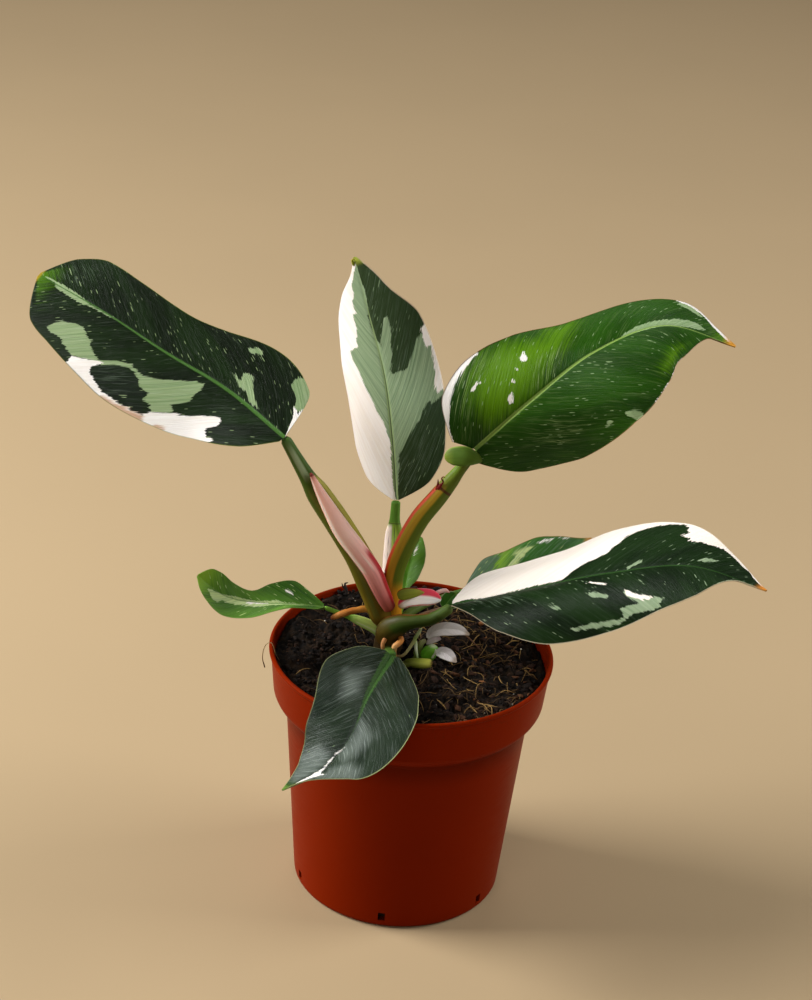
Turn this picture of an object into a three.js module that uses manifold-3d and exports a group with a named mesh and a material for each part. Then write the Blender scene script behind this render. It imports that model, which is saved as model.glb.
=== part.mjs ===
// Potted white princess philodendron in a 12 cm nursery pot.
// Millimetres, +Z up. The origin is the middle of the flat pad under the pot.
// The front of the plant, with the leaf that hangs over the rim, faces -Y.

import * as THREE from 'three';
import { mergeVertices } from 'three/addons/utils/BufferGeometryUtils.js';
import Module from 'manifold-3d';

const wasm = await Module();
wasm.setup();

// Driving dimensions

const GAP = 0.3; // clearance between touching pieces
const POT = {
  height: 112,
  rimRadius: 60,
  collarFoot: 85, // height at which the collar starts to swell out
  collarRise: 8, // height of the swell
  collarRadius: 57.4, // at the top of the swell
  bodyRadius: 51.6,
  baseRadius: 44.5,
  wall: 1.2,
  floor: 3.4,
  padRadius: 14,
  recess: 2,
  segments: 44,
};
const DRAIN = { count: 6, firstAngle: 204, width: 3, height: 4.2, sill: 3.6, reach: 8 };
const FLOOR_HOLE = { count: 4, firstAngle: 45, radius: 3, pitch: 27 };
const SOIL = { level: 102, roughness: 1, heaped: 6, rings: 5, segments: 32 }; // heaped up at the back
const MOUND = { height: 2, x: -8, y: 8, spread: 20 }; // soil heaped round the stem
const BLADE = { thickness: 0.8, keel: 1.3, rows: 13 };
const STALK_SIDES = 12;

// Where the half-widths of every leaf blade are given, from its base (0) to its tip (1),
// and the places of its mesh lines across each half, from the midrib (0) to the edge (1).
const STATIONS = [0, 0.07, 0.18, 0.33, 0.5, 0.67, 0.82, 0.92, 1];
const ACROSS = [0, 0.12, 0.35, 0.57, 0.79, 1];

// Leaf blades. spine: points along the midrib. left, right: half-widths at STATIONS,
// seen from the upper face, looking to the tip. face: the way the upper face looks at the
// even steps from base to tip. fold: how far each half stands up from flat, in degrees.
// curl: how far each half turns over 25 mm of width. lobe: sweep of the base lobes back.
// forward: sweep of the edges to the tip. Both are shares of the blade's length.
const BLADES = {
  leaf_upper_left: {
    spine: [
      [-58, 3, 205.5], [-83, 20.5, 216.5], [-110.5, 32, 226.5], [-137.5, 43.5, 237.5],
      [-166.5, 56.5, 246.5],
    ],
    left: [3, 16, 24, 29.2, 31, 28, 23.4, 19, 0.5],
    right: [1, 25, 29.6, 24.6, 21.5, 22, 23, 17, 0.5],
    face: [[0.1, -0.44, 0.89], [0, -0.6, 0.8], [0.05, -0.58, 0.81], [0.05, -0.59, 0.8], [0, -0.55, 0.84]],
    fold: [-4, -7], curl: [-16, -2], lobe: 0, forward: 0.06,
  },
  leaf_centre: {
    spine: [
      [-11, 34, 164.5], [-14.5, 40.5, 190.5], [-19.5, 47.5, 215.5], [-27.5, 54, 239.5],
      [-35.5, 60.5, 263],
    ],
    left: [1.5, 16, 22.5, 24.5, 24, 20, 12.5, 4, 0.5],
    right: [1.5, 16.5, 23.5, 25, 24, 22, 12.5, 7, 0.5],
    face: [
      [-0.47, -0.87, 0.15], [-0.49, -0.86, 0.14], [-0.44, -0.89, 0.14], [-0.47, -0.88, 0.1],
      [-0.5, -0.86, 0.06],
    ],
    fold: [1, 1], curl: [-34, -29], lobe: 0, forward: 0.07,
  },
  leaf_upper_right: {
    spine: [[20, 22.5, 196.5], [42, 22, 221.5], [65.5, 30.5, 240.5], [94, 40, 250.5], [124.5, 40, 243.5]],
    left: [10, 26.6, 31, 29, 21.5, 21, 19, 7.5, 0.5],
    right: [5.5, 25.5, 31.5, 35, 36.5, 30, 18.5, 1, 0.5],
    face: [
      [0.1, -0.99, -0.12], [-0.19, -0.91, 0.36], [-0.3, -0.47, 0.83], [0, -0.23, 0.97],
      [0.26, -0.23, 0.94],
    ],
    fold: [10, 10], curl: [-34, -37], lobe: 0.025, forward: 0,
  },
  leaf_right: {
    spine: [[15.5, -2, 136], [47, -10.5, 151], [78, -21, 166.5], [108.5, -34.5, 179.5], [137, -53, 181]],
    left: [2, 18.5, 23.5, 28.5, 28.5, 24.5, 13, 7, 0.5],
    right: [1.5, 11, 25, 33, 29.5, 23, 15.5, 1, 0.5],
    face: [
      [-0.44, -0.07, 0.89], [-0.41, 0.09, 0.91], [-0.46, -0.12, 0.88], [-0.34, -0.21, 0.92],
      [0.2, 0.32, 0.92],
    ],
    fold: [9, 15], curl: [-14, -59], lobe: 0, forward: 0.01,
  },
  leaf_front: {
    spine: [[-8.5, -11, 114.8], [-16.5, -47, 117], [-22, -70, 111.5], [-32, -84, 103], [-47, -97, 101]],
    left: [4, 12, 20, 23, 22, 19.5, 9.5, 2.5, 0.5],
    right: [3.5, 15, 22, 19.5, 18.5, 15, 9.5, 4.5, 0.5],
    face: [
      [0.36, -0.02, 0.93], [0.09, -0.08, 0.99], [-0.11, -0.29, 0.95], [-0.28, 0, 0.96],
      [-0.39, 0.4, 0.83],
    ],
    fold: [16, 15], curl: [-31, -13], lobe: 0, forward: 0.04, keel: 0.8,
  },
  leaf_left: {
    spine: [[-38, 4, 127], [-52, 1, 129], [-66, -1, 129.5], [-79.5, -3, 133], [-91, -3.5, 142]],
    left: [1.5, 5, 5, 7, 10, 10, 7.5, 5, 0.5],
    right: [1.5, 7, 12, 9.5, 5, 6.5, 7.5, 6.5, 0.5],
    face: [
      [0.14, 0, 0.99], [0.12, -0.13, 0.98], [0.19, -0.38, 0.91], [0.39, -0.63, 0.67],
      [0.51, -0.63, 0.59],
    ],
    fold: [17, 14], curl: [-8, 15], lobe: 0, forward: 0.07,
  },
  leaf_back_right: {
    spine: [[21.5, 34, 123], [34.5, 38, 128.5], [47.5, 42, 134], [61, 44, 140], [74, 43, 148]],
    left: [1, 8, 14, 12, 12.5, 9, 4.5, 2, 0.5],
    right: [1.5, 11, 15, 15.5, 14, 11.5, 9, 5.5, 0.5],
    face: [[-0.4, -0.17, 0.9], [-0.36, -0.34, 0.87], [-0.37, -0.32, 0.87]],
    fold: [3, 8], curl: [-8, -17], lobe: 0, forward: 0.12,
  },
  leaf_back_small: {
    spine: [[-4.5, 23, 126.5], [-4, 28, 130.5], [-3, 32, 135.5], [-1.5, 34, 141.5], [1, 36, 146.5]],
    left: [0.8, 2, 3.5, 4.5, 5, 4, 2.5, 1, 0.5],
    right: [0.8, 2.5, 5, 6, 6.5, 6, 4.5, 2.5, 0.5],
    face: [[-0.32, -0.75, 0.57], [-0.28, -0.77, 0.57], [-0.28, -0.77, 0.57]],
    fold: [7, 10], curl: [-18, -18], lobe: 0, forward: 0.08, rows: 8, thickness: 0.7, keel: 0.5,
  },
  leaf_base_right: {
    spine: [[12.5, 5, 130], [13.3, 5.8, 131.8], [14.4, 6.6, 133.5], [15.8, 7.4, 135], [17.4, 8, 136.2]],
    left: [0.8, 2.2, 3.2, 3.8, 3.8, 3.2, 2, 1.2, 0.5],
    right: [0.8, 2.2, 3.6, 4.4, 4.4, 3.6, 2.4, 1.4, 0.5],
    face: [[-0.1, -0.9, 0.3], [0, -0.9, 0.35], [0.1, -0.9, 0.3]],
    fold: [20, 6], curl: [-20, -20], lobe: 0, forward: 0.05, rows: 7, thickness: 0.7, keel: 0.4,
  },
  pup_leaf_back: {
    spine: [[6.5, 5.5, 114.5], [8.5, 6.5, 117.2], [13, 6.9, 119], [18.8, 6.4, 119.2], [24, 5, 118]],
    left: [0.8, 1.6, 2.2, 2.6, 2.8, 2.6, 2, 1.1, 0.4],
    right: [0.8, 1.8, 2.8, 3.4, 3.6, 3.2, 2.2, 1.2, 0.4],
    face: [[-0.6, -0.5, 0.6], [-0.2, -0.6, 0.8], [0.2, -0.6, 0.8]],
    fold: [12, 12], curl: [-30, -30], lobe: 0, forward: 0.05, rows: 8, thickness: 0.7, keel: 0.3,
  },
  pup_leaf_front: {
    spine: [
      [10.5, 1, 110], [12.4, 0.2, 111.4], [14.8, -0.8, 111.4], [17.1, -1.8, 110.2], [19.2, -2.6, 108.6],
    ],
    left: [0.8, 1.4, 2.1, 2.5, 2.6, 2.3, 1.7, 1, 0.4],
    right: [0.8, 1.5, 2.4, 3, 3.1, 2.7, 1.9, 1.1, 0.4],
    face: [[-0.4, -0.6, 0.7], [0.1, -0.6, 0.8], [0.5, -0.5, 0.7]],
    fold: [10, 10], curl: [-30, -30], lobe: 0, forward: 0.05, rows: 7, thickness: 0.7, keel: 0.3,
  },
};

// Stalks, sheaths, shoots and roots. route: points along the middle. across, deep: half
// sizes of the oval section at each point, across and along the way that its groove looks.
// groove: how deep the groove cuts in, as a share of the section, at each point.
const STALKS = {
  new_leaf: {
    route: [
      [-10, 4, 128], [-14.5, 3.5, 137], [-19, 2.5, 147], [-25.5, 1.5, 156.5], [-32, 1, 165.5],
      [-37.5, 1, 174.5], [-42.5, 1.5, 183], [-46.5, 2, 190.5],
    ],
    across: [2.6, 3.7, 4.2, 4.2, 4, 3.1, 2, 0.7],
    deep: [2.2, 3, 3.3, 3.3, 3, 2.4, 1.6, 0.6], look: [0.5, -0.8, 0.3],
  },
  lobe_upper_right: {
    route: [
      [8, 19.5, 193.4], [11.5, 18.5, 194.6], [16, 18, 195.2], [20, 18.4, 194.4],
      [23.4, 19.6, 192.8],
    ],
    across: [1.5, 3.8, 4.2, 3, 0.7], deep: [0.7, 1.1, 1.3, 1, 0.5], look: [0, -0.9, 0.4],
  },
  stem: {
    route: [[-9, 10, 76], [-9.5, 9.5, 92], [-10, 9, 104], [-10, 8.5, 114], [-10.5, 8.5, 122]],
    across: [6, 7, 6.4, 5.6, 4], deep: [6, 7, 6.4, 5.6, 3.6], look: [0, -1, 0],
  },
  petiole_upper_left: {
    route: [
      [-11, 8.5, 118], [-13.6, 8, 126], [-18.5, 7.5, 138], [-25.5, 6.5, 152], [-34.5, 5.5, 167],
      [-42.5, 5, 179], [-48.5, 4.5, 188.5], [-57.8, 4, 204.5],
    ],
    across: [3.6, 6.6, 6.6, 5.8, 5.6, 5.2, 3.4, 2.3], deep: [3.4, 4.8, 4.8, 4.6, 4.4, 3.6, 2.7, 2.1],
    look: [0.5, -0.8, 0.3], groove: [0.1, 0.25, 0.35, 0.4, 0.4, 0.4, 0.2, 0.12],
  },
  petiole_centre: {
    route: [
      [-10.5, 12, 112], [-10.5, 18, 130], [-10.5, 24, 141], [-10.8, 29.5, 150], [-11, 32, 157],
      [-11, 34, 164],
    ],
    across: [4.5, 4.6, 4.6, 4, 2.2, 2], deep: [3.6, 3.4, 3.2, 2.8, 2, 1.8],
    look: [-0.4, -0.9, 0.2], groove: [0.1, 0.35, 0.45, 0.4, 0.15, 0.12],
  },
  petiole_upper_right: {
    route: [
      [-8.5, 10, 112], [-10, 10.5, 126], [-10, 12.5, 140], [-7.5, 14, 151], [-1.5, 17, 164.5],
      [5.5, 19, 174.5], [11, 20.5, 182], [15, 21.5, 188], [19.8, 22, 195.8],
    ],
    across: [4.4, 4.4, 4.2, 4.2, 4.2, 3.8, 3.2, 2.5, 2.4],
    deep: [4.6, 4.6, 4.6, 4.8, 4.7, 4.4, 3.5, 2.6, 2.5],
    look: [-0.85, 0.22, 0.4], groove: [0.1, 0.15, 0.22, 0.24, 0.24, 0.22, 0.15, 0.1, 0.1],
  },
  petiole_right: {
    route: [
      [-10, 6.5, 112], [-9.2, 3.6, 119.4], [-4.6, 0.6, 124.4], [0.6, -1.6, 126.8], [8, -2.4, 129.2],
      [15, -2.2, 134.8],
    ],
    across: [5.6, 6, 5, 3.6, 3, 2.4], deep: [5.2, 5.4, 4.6, 3.2, 2.8, 2.2],
    look: [-0.3, 0.5, 0.8], groove: [0, 0.1, 0.3, 0.2, 0.12, 0.12],
  },
  petiole_front: {
    route: [[-10, 6, 107], [-9.5, -1, 111], [-8.6, -10.4, 114.5]],
    across: [3, 2.4, 2.6], deep: [2.6, 2.1, 1.6], look: [0, -0.4, 0.9], groove: [0, 0.12, 0.15],
  },
  petiole_left: {
    route: [
      [-12, 9, 112.5], [-15.5, 8, 116], [-20, 7, 118.8], [-24.5, 6.5, 120.8], [-28.5, 6, 122.4],
      [-37.7, 4, 126.8],
    ],
    across: [3, 2.8, 2.5, 2, 1.1, 1], deep: [2.4, 2.2, 2, 1.6, 1, 0.9],
    look: [0.3, -0.4, 0.8], groove: [0, 0.15, 0.25, 0.25, 0.1, 0],
  },
  petiole_back_right: {
    route: [[-7.5, 12, 114], [-2, 18, 119], [7, 25.5, 121], [15, 31, 121.8], [21, 33.8, 122.8]],
    across: [2.6, 2, 1.6, 1.5, 1.4], deep: [2.4, 1.9, 1.5, 1.4, 1.3],
    look: [-0.2, -0.2, 0.9], groove: [0, 0.1, 0.15, 0.12, 0.1],
  },
  petiole_back_small: {
    route: [[-8.5, 13, 114], [-6.5, 18, 120.5], [-4.6, 22.7, 126.2]],
    across: [2.2, 1.8, 1.4], deep: [2, 1.6, 1.3], look: [0, -0.8, 0.6], groove: [0, 0.1, 0.1],
  },
  petiole_base_right: {
    route: [[-5.5, 8.5, 116], [1, 7.5, 122], [8, 6, 127], [12.2, 5, 129.6]],
    across: [2.4, 1.9, 1.5, 1.1],
    deep: [2.2, 1.7, 1.4, 1], look: [-0.2, -0.3, 0.9], groove: [0, 0.1, 0.1, 0.1],
  },
  sheath_right: {
    route: [
      [-6.5, 4, 130], [-3, 3.2, 133.6], [1, 2.4, 135.8], [5.5, 1.6, 136.6], [8.5, 1, 136.6],
      [10.8, 0.8, 136.2],
    ],
    across: [1.6, 3, 3.8, 3.6, 2.6, 0.7], deep: [1, 1.5, 1.7, 1.5, 1.1, 0.5],
    look: [-0.2, -0.8, 0.6], groove: [0, 0.2, 0.3, 0.3, 0.2, 0],
  },
  root_left: {
    route: [
      [-13, 8.5, 121], [-16.5, 7, 125], [-21, 5.5, 126.6], [-26, 4.5, 125.8], [-30.5, 3.5, 124.4],
      [-34.8, 3, 122.4],
    ],
    across: [1.5, 1.5, 1.4, 1.4, 1.4, 0.9], deep: [1.5, 1.5, 1.4, 1.4, 1.4, 0.9], look: [0, -1, 0],
  },
  root_front: {
    route: [
      [-5, 0.5, 117.2], [-4.6, -1, 116.4], [-5.8, -2.2, 115.4], [-7.2, -2.8, 114],
      [-7.2, -2.6, 110.8], [-6, -1.8, 107.6],
    ],
    across: [1.2, 1.2, 1.3, 1.2, 1, 0.6], deep: [1.2, 1.2, 1.2, 1.1, 1, 0.6], look: [0, -1, 0],
  },
  root_side: {
    route: [
      [-10.6, 0.6, 117.4], [-11.6, -0.8, 116], [-12.2, -1.2, 114], [-11.8, -1.2, 111.6],
      [-11, -1, 109], [-10.8, -1, 105.6],
    ],
    across: [1, 1, 0.9, 0.9, 0.8, 0.6], deep: [1, 1, 0.9, 0.9, 0.8, 0.6], look: [0, -1, 0],
  },
  pup_shoot: {
    route: [[2, 4.5, 92], [2.6, 4, 104], [3, 4.2, 109.6], [4, 4.7, 112.4], [5.9, 5.2, 113.7]],
    across: [2.2, 2.2, 1.8, 1.3, 0.9], deep: [2.2, 2.2, 1.7, 1.2, 0.8], look: [0, -1, 0],
  },
  pup_bud: {
    route: [[5.5, 4.5, 96], [6, 4, 104], [7.4, 3, 108.5], [8.6, 2.6, 111], [9, 2.6, 113.2]],
    across: [2, 2.6, 3.4, 3, 1.2],
    deep: [2, 2.4, 3, 2.6, 1.1], look: [0.4, -0.8, 0.3], groove: [0, 0, 0.12, 0.15, 0],
  },
  pup_stub: {
    route: [[-3, -0.2, 104.4], [0.5, -1.2, 106], [4.5, -1.8, 106.4], [9, -2.4, 107]],
    across: [1.6, 2.2, 2.4, 2.1], deep: [1.4, 1.8, 2, 1.8], look: [0, -0.3, 1],
  },
  dry_stalk: {
    route: [
      [5.5, 8.5, 100], [5.8, 8.4, 110], [7.5, 9.5, 117], [12, 10.8, 118.4], [18.5, 11, 116.8],
      [24.5, 9, 113.6], [29.5, 6, 110],
    ],
    across: [0.6, 0.6, 0.6, 0.5, 0.5, 0.5, 0.4],
    deep: [0.6, 0.6, 0.6, 0.5, 0.5, 0.5, 0.4], look: [0, -1, 0],
  },
  bark_piece: {
    route: [
      [-30, 26, 103], [-27.5, 26.5, 104.2], [-24, 27, 104.6], [-20.5, 27.4, 104],
      [-18.6, 27.6, 103],
    ],
    across: [1.5, 3.2, 3.8, 3, 1.2], deep: [1, 2, 2.4, 1.9, 0.8], look: [0, -0.3, 1],
  },
};

const COLOURS = {
  pot: [0xb8431a, 0.5],
  soil: [0x2b1c14, 0.95],
  bark: [0x3a2216, 0.9],
  stem: [0x4a4020, 0.6],
  leaf: [0x1f4522, 0.35],
  petiole: [0x566423, 0.45],
  blush: [0xd98a8c, 0.4],
  pup: [0xe9e2dc, 0.5],
  shoot: [0x7ea23c, 0.45],
  root: [0xb0672c, 0.6],
};

// Geometry helpers

const vector = (xyz) => new THREE.Vector3(...xyz);
const radians = THREE.MathUtils.degToRad;

// Monotone cubic through the values, so that the curve never overshoots them.
function smooth(at, values) {
  const last = at.length - 1;
  const step = [];
  const slope = [];
  for (let i = 0; i < last; i += 1) {
    step.push(at[i + 1] - at[i]);
    slope.push((values[i + 1] - values[i]) / step[i]);
  }
  const endTangent = (h0, h1, s0, s1) => {
    const t = ((2 * h0 + h1) * s0 - h0 * s1) / (h0 + h1);
    if (t * s0 <= 0) return 0;
    return s0 * s1 < 0 && Math.abs(t) > 3 * Math.abs(s0) ? 3 * s0 : t;
  };
  const tangent = values.map((_, i) => {
    if (i === 0) return endTangent(step[0], step[1], slope[0], slope[1]);
    if (i === last) return endTangent(step[i - 1], step[i - 2], slope[i - 1], slope[i - 2]);
    if (slope[i - 1] * slope[i] <= 0) return 0;
    const before = 2 * step[i] + step[i - 1];
    const after = step[i] + 2 * step[i - 1];
    return (before + after) / (before / slope[i - 1] + after / slope[i]);
  });
  return (x) => {
    let i = 0;
    while (i < last - 1 && x > at[i + 1]) i += 1;
    const t = THREE.MathUtils.clamp((x - at[i]) / step[i], 0, 1);
    const t2 = t * t;
    const t3 = t2 * t;
    return (2 * t3 - 3 * t2 + 1) * values[i] + (t3 - 2 * t2 + t) * step[i] * tangent[i]
      + (3 * t2 - 2 * t3) * values[i + 1] + (t3 - t2) * step[i] * tangent[i + 1];
  };
}

const evenly = (count) => Array.from({ length: count }, (_, i) => i / (count - 1));

// A curve through the points that runs on straight past both ends.
function curveThrough(points) {
  const knots = points.map(vector);
  const curve = new THREE.CatmullRomCurve3(knots, false, 'catmullrom', 0.5);
  const spans = knots.length - 1;
  const startWay = knots[1].clone().sub(knots[0]).multiplyScalar(spans);
  const endWay = knots[spans].clone().sub(knots[spans - 1]).multiplyScalar(spans);
  const at = (x) => {
    const point = curve.getPoint(THREE.MathUtils.clamp(x, 0, 1));
    point.addScaledVector(startWay, Math.min(x, 0));
    return point.addScaledVector(endWay, Math.max(x - 1, 0));
  };
  const along = (x) => at(x + 0.001).sub(at(x - 0.001)).normalize();
  return { at, along, length: curve.getLength() };
}

// A closed mesh from rows of points. Points that fall together are merged, the triangles
// that this flattens are dropped, and the whole is turned so that its faces point out.
function closedMesh(positions, triangles) {
  const geometry = new THREE.BufferGeometry();
  geometry.setAttribute('position', new THREE.Float32BufferAttribute(positions, 3));
  geometry.setIndex(triangles);
  const merged = mergeVertices(geometry, 0.001);
  const index = [];
  for (let i = 0; i < merged.index.count; i += 3) {
    const corner = [0, 1, 2].map((k) => merged.index.getX(i + k));
    if (new Set(corner).size === 3) index.push(...corner);
  }
  const point = (i) => new THREE.Vector3().fromBufferAttribute(merged.attributes.position, i);
  let volume = 0;
  for (let i = 0; i < index.length; i += 3) {
    volume += point(index[i]).dot(point(index[i + 1]).cross(point(index[i + 2])));
  }
  if (volume < 0) index.reverse();
  merged.setIndex(index);
  return merged;
}

// Two skins over one grid, joined along their edges.
function plate(upper, lower) {
  const rows = upper.length;
  const columns = upper[0].length;
  const flat = [...upper, ...lower].flat().flatMap((p) => p.toArray());
  const top = (i, j) => i * columns + j;
  const under = (i, j) => (rows + i) * columns + j;
  const triangles = [];
  const quad = (a, b, c, d) => triangles.push(a, b, c, a, c, d);
  for (let i = 0; i < rows - 1; i += 1) {
    for (let j = 0; j < columns - 1; j += 1) {
      quad(top(i, j), top(i, j + 1), top(i + 1, j + 1), top(i + 1, j));
      triangles.push(under(i, j), under(i + 1, j + 1), under(i, j + 1));
      triangles.push(under(i, j), under(i + 1, j), under(i + 1, j + 1));
    }
    quad(under(i, 0), top(i, 0), top(i + 1, 0), under(i + 1, 0));
    quad(top(i, columns - 1), under(i, columns - 1), under(i + 1, columns - 1), top(i + 1, columns - 1));
  }
  for (let j = 0; j < columns - 1; j += 1) {
    quad(under(0, j), under(0, j + 1), top(0, j + 1), top(0, j));
    quad(top(rows - 1, j), top(rows - 1, j + 1), under(rows - 1, j + 1), under(rows - 1, j));
  }
  return closedMesh(flat, triangles);
}

// Rings of points, closed by a point at each end.
function tube(rings) {
  const sides = rings[0].length;
  const flat = rings.flat().flatMap((p) => p.toArray());
  const triangles = [];
  for (let i = 0; i < rings.length - 1; i += 1) {
    for (let j = 0; j < sides; j += 1) {
      const a = i * sides + j;
      const b = i * sides + ((j + 1) % sides);
      triangles.push(a, b, b + sides, a, b + sides, a + sides);
    }
  }
  return closedMesh(flat, triangles);
}

function solidOf(geometry) {
  const bare = geometry.clone();
  bare.deleteAttribute('normal');
  bare.deleteAttribute('uv');
  const merged = mergeVertices(bare, 0.001);
  const vertProperties = new Float32Array(merged.attributes.position.array);
  const triVerts = new Uint32Array(merged.index.array);
  return new wasm.Manifold(new wasm.Mesh({ numProp: 3, vertProperties, triVerts }));
}

function geometryOf(solid) {
  const mesh = solid.getMesh();
  const geometry = new THREE.BufferGeometry();
  const points = new Float32Array(mesh.vertProperties);
  geometry.setAttribute('position', new THREE.BufferAttribute(points, 3));
  geometry.setIndex(new THREE.BufferAttribute(new Uint32Array(mesh.triVerts), 1));
  geometry.computeVertexNormals();
  return geometry;
}

// A turned body from its profile of [radius, height] points.
function turned(profile, segments) {
  const lathe = new THREE.LatheGeometry(profile.map(([r, z]) => new THREE.Vector2(r, z)), segments);
  lathe.rotateX(Math.PI / 2);
  return closedMesh([...lathe.attributes.position.array], [...lathe.index.array]);
}

// Leaf blades

// A point of the blade's middle surface: u runs from base to tip, s from the right edge
// (-1) over the midrib (0) to the left edge (1). grow widens and lengthens the blade.
function bladeSurface(leaf, grow) {
  const spine = curveThrough(leaf.spine);
  const knots = evenly(leaf.face.length);
  const face = [0, 1, 2].map((axis) => smooth(knots, leaf.face.map((f) => f[axis])));
  const half = { left: smooth(STATIONS, leaf.left), right: smooth(STATIONS, leaf.right) };
  return (u, s) => {
    const side = s >= 0 ? 1 : -1;
    const width = (side > 0 ? half.left : half.right)(u) + grow;
    const reach = Math.abs(s) * width;
    const forward = leaf.forward * Math.sin(Math.PI * u) * (1 - 0.3 * u);
    const sweep = forward - leaf.lobe * Math.max(1 - 4 * u, 0) ** 2;
    const x = u + sweep * Math.abs(s) ** 1.5 + ((2 * u - 1) * grow) / spine.length;
    const along = spine.along(x);
    const clamped = THREE.MathUtils.clamp(x, 0, 1);
    const up = new THREE.Vector3(face[0](clamped), face[1](clamped), face[2](clamped));
    up.addScaledVector(along, -up.dot(along)).normalize();
    const left = up.clone().cross(along);
    const fold = radians(leaf.fold[side > 0 ? 0 : 1]);
    const curl = radians(leaf.curl[side > 0 ? 0 : 1]) / 25;
    const out = (Math.sin(fold + curl * reach) - Math.sin(fold)) / curl;
    const rise = (Math.cos(fold) - Math.cos(fold + curl * reach)) / curl;
    return spine.at(x).addScaledVector(left, side * out).addScaledVector(up, rise);
  };
}

function bladeGeometry(leaf, grow = 0) {
  const surface = bladeSurface(leaf, grow);
  const rows = leaf.rows ?? BLADE.rows;
  const half = (leaf.thickness ?? BLADE.thickness) / 2 + grow;
  const keel = leaf.keel ?? BLADE.keel;
  const columns = [...ACROSS.slice(1).reverse().map((s) => -s), ...ACROSS];
  const upper = [];
  const lower = [];
  const step = 0.01;
  for (let i = 0; i <= rows; i += 1) {
    const u = (1 - Math.cos((Math.PI * i) / rows)) / 2; // closer rows near base and tip
    const tip = i === rows;
    const top = [];
    const under = [];
    columns.forEach((s) => {
      const at = surface(u, tip ? 0 : s);
      const inner = THREE.MathUtils.clamp(u, 0.02, 0.97);
      const edge = tip ? 0 : s;
      const alongU = surface(inner + step, edge).sub(surface(inner - step, edge));
      const acrossS = surface(inner, Math.min(edge + 0.1, 1)).sub(surface(inner, Math.max(edge - 0.1, -1)));
      const normal = alongU.cross(acrossS).normalize();
      const rib = Math.abs(s) < 0.01 ? keel * (1 - 0.8 * u) : 0;
      top.push(at.clone().addScaledVector(normal, half));
      under.push(at.clone().addScaledVector(normal, -half - rib));
    });
    upper.push(top);
    lower.push(under);
  }
  return plate(upper, lower);
}

// Stalks, sheaths and roots

function stalkGeometry(stalk, grow = 0) {
  const path = curveThrough(stalk.route);
  const knots = evenly(stalk.route.length);
  const across = smooth(knots, stalk.across);
  const deep = smooth(knots, stalk.deep);
  const groove = smooth(knots, stalk.groove ?? stalk.across.map(() => 0));
  const grooveWidth = 0.6; // radians
  const count = 2 * (stalk.route.length - 1);
  const end = (x) => Array(STALK_SIDES).fill(path.at(x));
  const overrun = grow / path.length;
  const rings = [end(-overrun)];
  for (let i = 0; i <= count; i += 1) {
    const t = i / count;
    const x = t + (2 * t - 1) * overrun;
    const along = path.along(x);
    const look = vector(stalk.look);
    look.addScaledVector(along, -look.dot(along)).normalize();
    const beside = look.clone().cross(along);
    const ring = [];
    for (let k = 0; k < STALK_SIDES; k += 1) {
      const angle = (2 * Math.PI * k) / STALK_SIDES;
      const turn = Math.min(angle, 2 * Math.PI - angle);
      const cut = 1 - groove(t) * Math.exp(-((turn / grooveWidth) ** 2));
      const point = path.at(x).addScaledVector(beside, (across(t) + grow) * cut * Math.sin(angle));
      ring.push(point.addScaledVector(look, (deep(t) + grow) * cut * Math.cos(angle)));
    }
    rings.push(ring);
  }
  rings.push(end(1 + overrun));
  return tube(rings);
}

// Pot and soil

// Profile points of the soft S-bend between the pot's body and its collar.
function collarSwell(inner, outer, foot) {
  const across = outer - inner;
  return [[0, 0], [0.12, 0.15], [0.48, 0.45], [0.86, 0.75], [1, 1]]
    .map(([r, z]) => [inner + across * r, foot + POT.collarRise * z]);
}

function potGeometry() {
  const { height, rimRadius, collarFoot, collarRadius, bodyRadius, baseRadius, wall, floor } = POT;
  const lip = 0.9;
  const neck = rimRadius - lip;
  const profile = [
    [0, 0], [POT.padRadius, 0], [POT.padRadius + 1.5, POT.recess], [baseRadius - 5.5, POT.recess],
    [baseRadius - 4, 0], [baseRadius - 1.5, 0], [baseRadius, 1.5],
    ...collarSwell(bodyRadius, collarRadius, collarFoot),
    [neck, height - 2.2], [rimRadius, height - 1.4], [rimRadius, height - 0.5], [rimRadius - 0.6, height],
    [rimRadius - 1.4, height], [rimRadius - 2, height - 0.6],
    ...collarSwell(bodyRadius - wall, collarRadius - wall, collarFoot + 0.5 * wall).reverse(),
    [baseRadius - wall + 0.2, floor + 1], [baseRadius - wall - 0.8, floor], [0, floor],
  ];
  let solid = solidOf(turned(profile, POT.segments));
  for (let i = 0; i < DRAIN.count; i += 1) {
    const slot = new THREE.BoxGeometry(DRAIN.reach, DRAIN.width, DRAIN.height);
    slot.translate(baseRadius, 0, DRAIN.sill + DRAIN.height / 2);
    slot.rotateZ(radians(DRAIN.firstAngle + (360 * i) / DRAIN.count));
    solid = solid.subtract(solidOf(slot));
  }
  for (let i = 0; i < FLOOR_HOLE.count; i += 1) {
    const hole = new THREE.CylinderGeometry(FLOOR_HOLE.radius, FLOOR_HOLE.radius, 4 * floor, 12);
    hole.rotateX(Math.PI / 2);
    hole.translate(FLOOR_HOLE.pitch, 0, 0);
    hole.rotateZ(radians(FLOOR_HOLE.firstAngle + (360 * i) / FLOOR_HOLE.count));
    solid = solid.subtract(solidOf(hole));
  }
  return geometryOf(solid);
}

function soilRise(x, y) {
  const lumps = 0.9 * Math.sin(x / 7 + 1) * Math.sin(y / 6) + 0.6 * Math.sin(x / 3.1 + y / 4.3)
    + 0.4 * Math.sin(y / 2.9 - x / 5);
  const away = Math.hypot(x - MOUND.x, y - MOUND.y) / MOUND.spread;
  return SOIL.roughness * lumps + MOUND.height * Math.exp(-away * away);
}

// How much higher the soil lies towards the back of the pot.
const soilHeap = (y) => SOIL.heaped * Math.max(0.5 + (0.5 * y) / POT.rimRadius, 0) ** 1.6;

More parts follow.
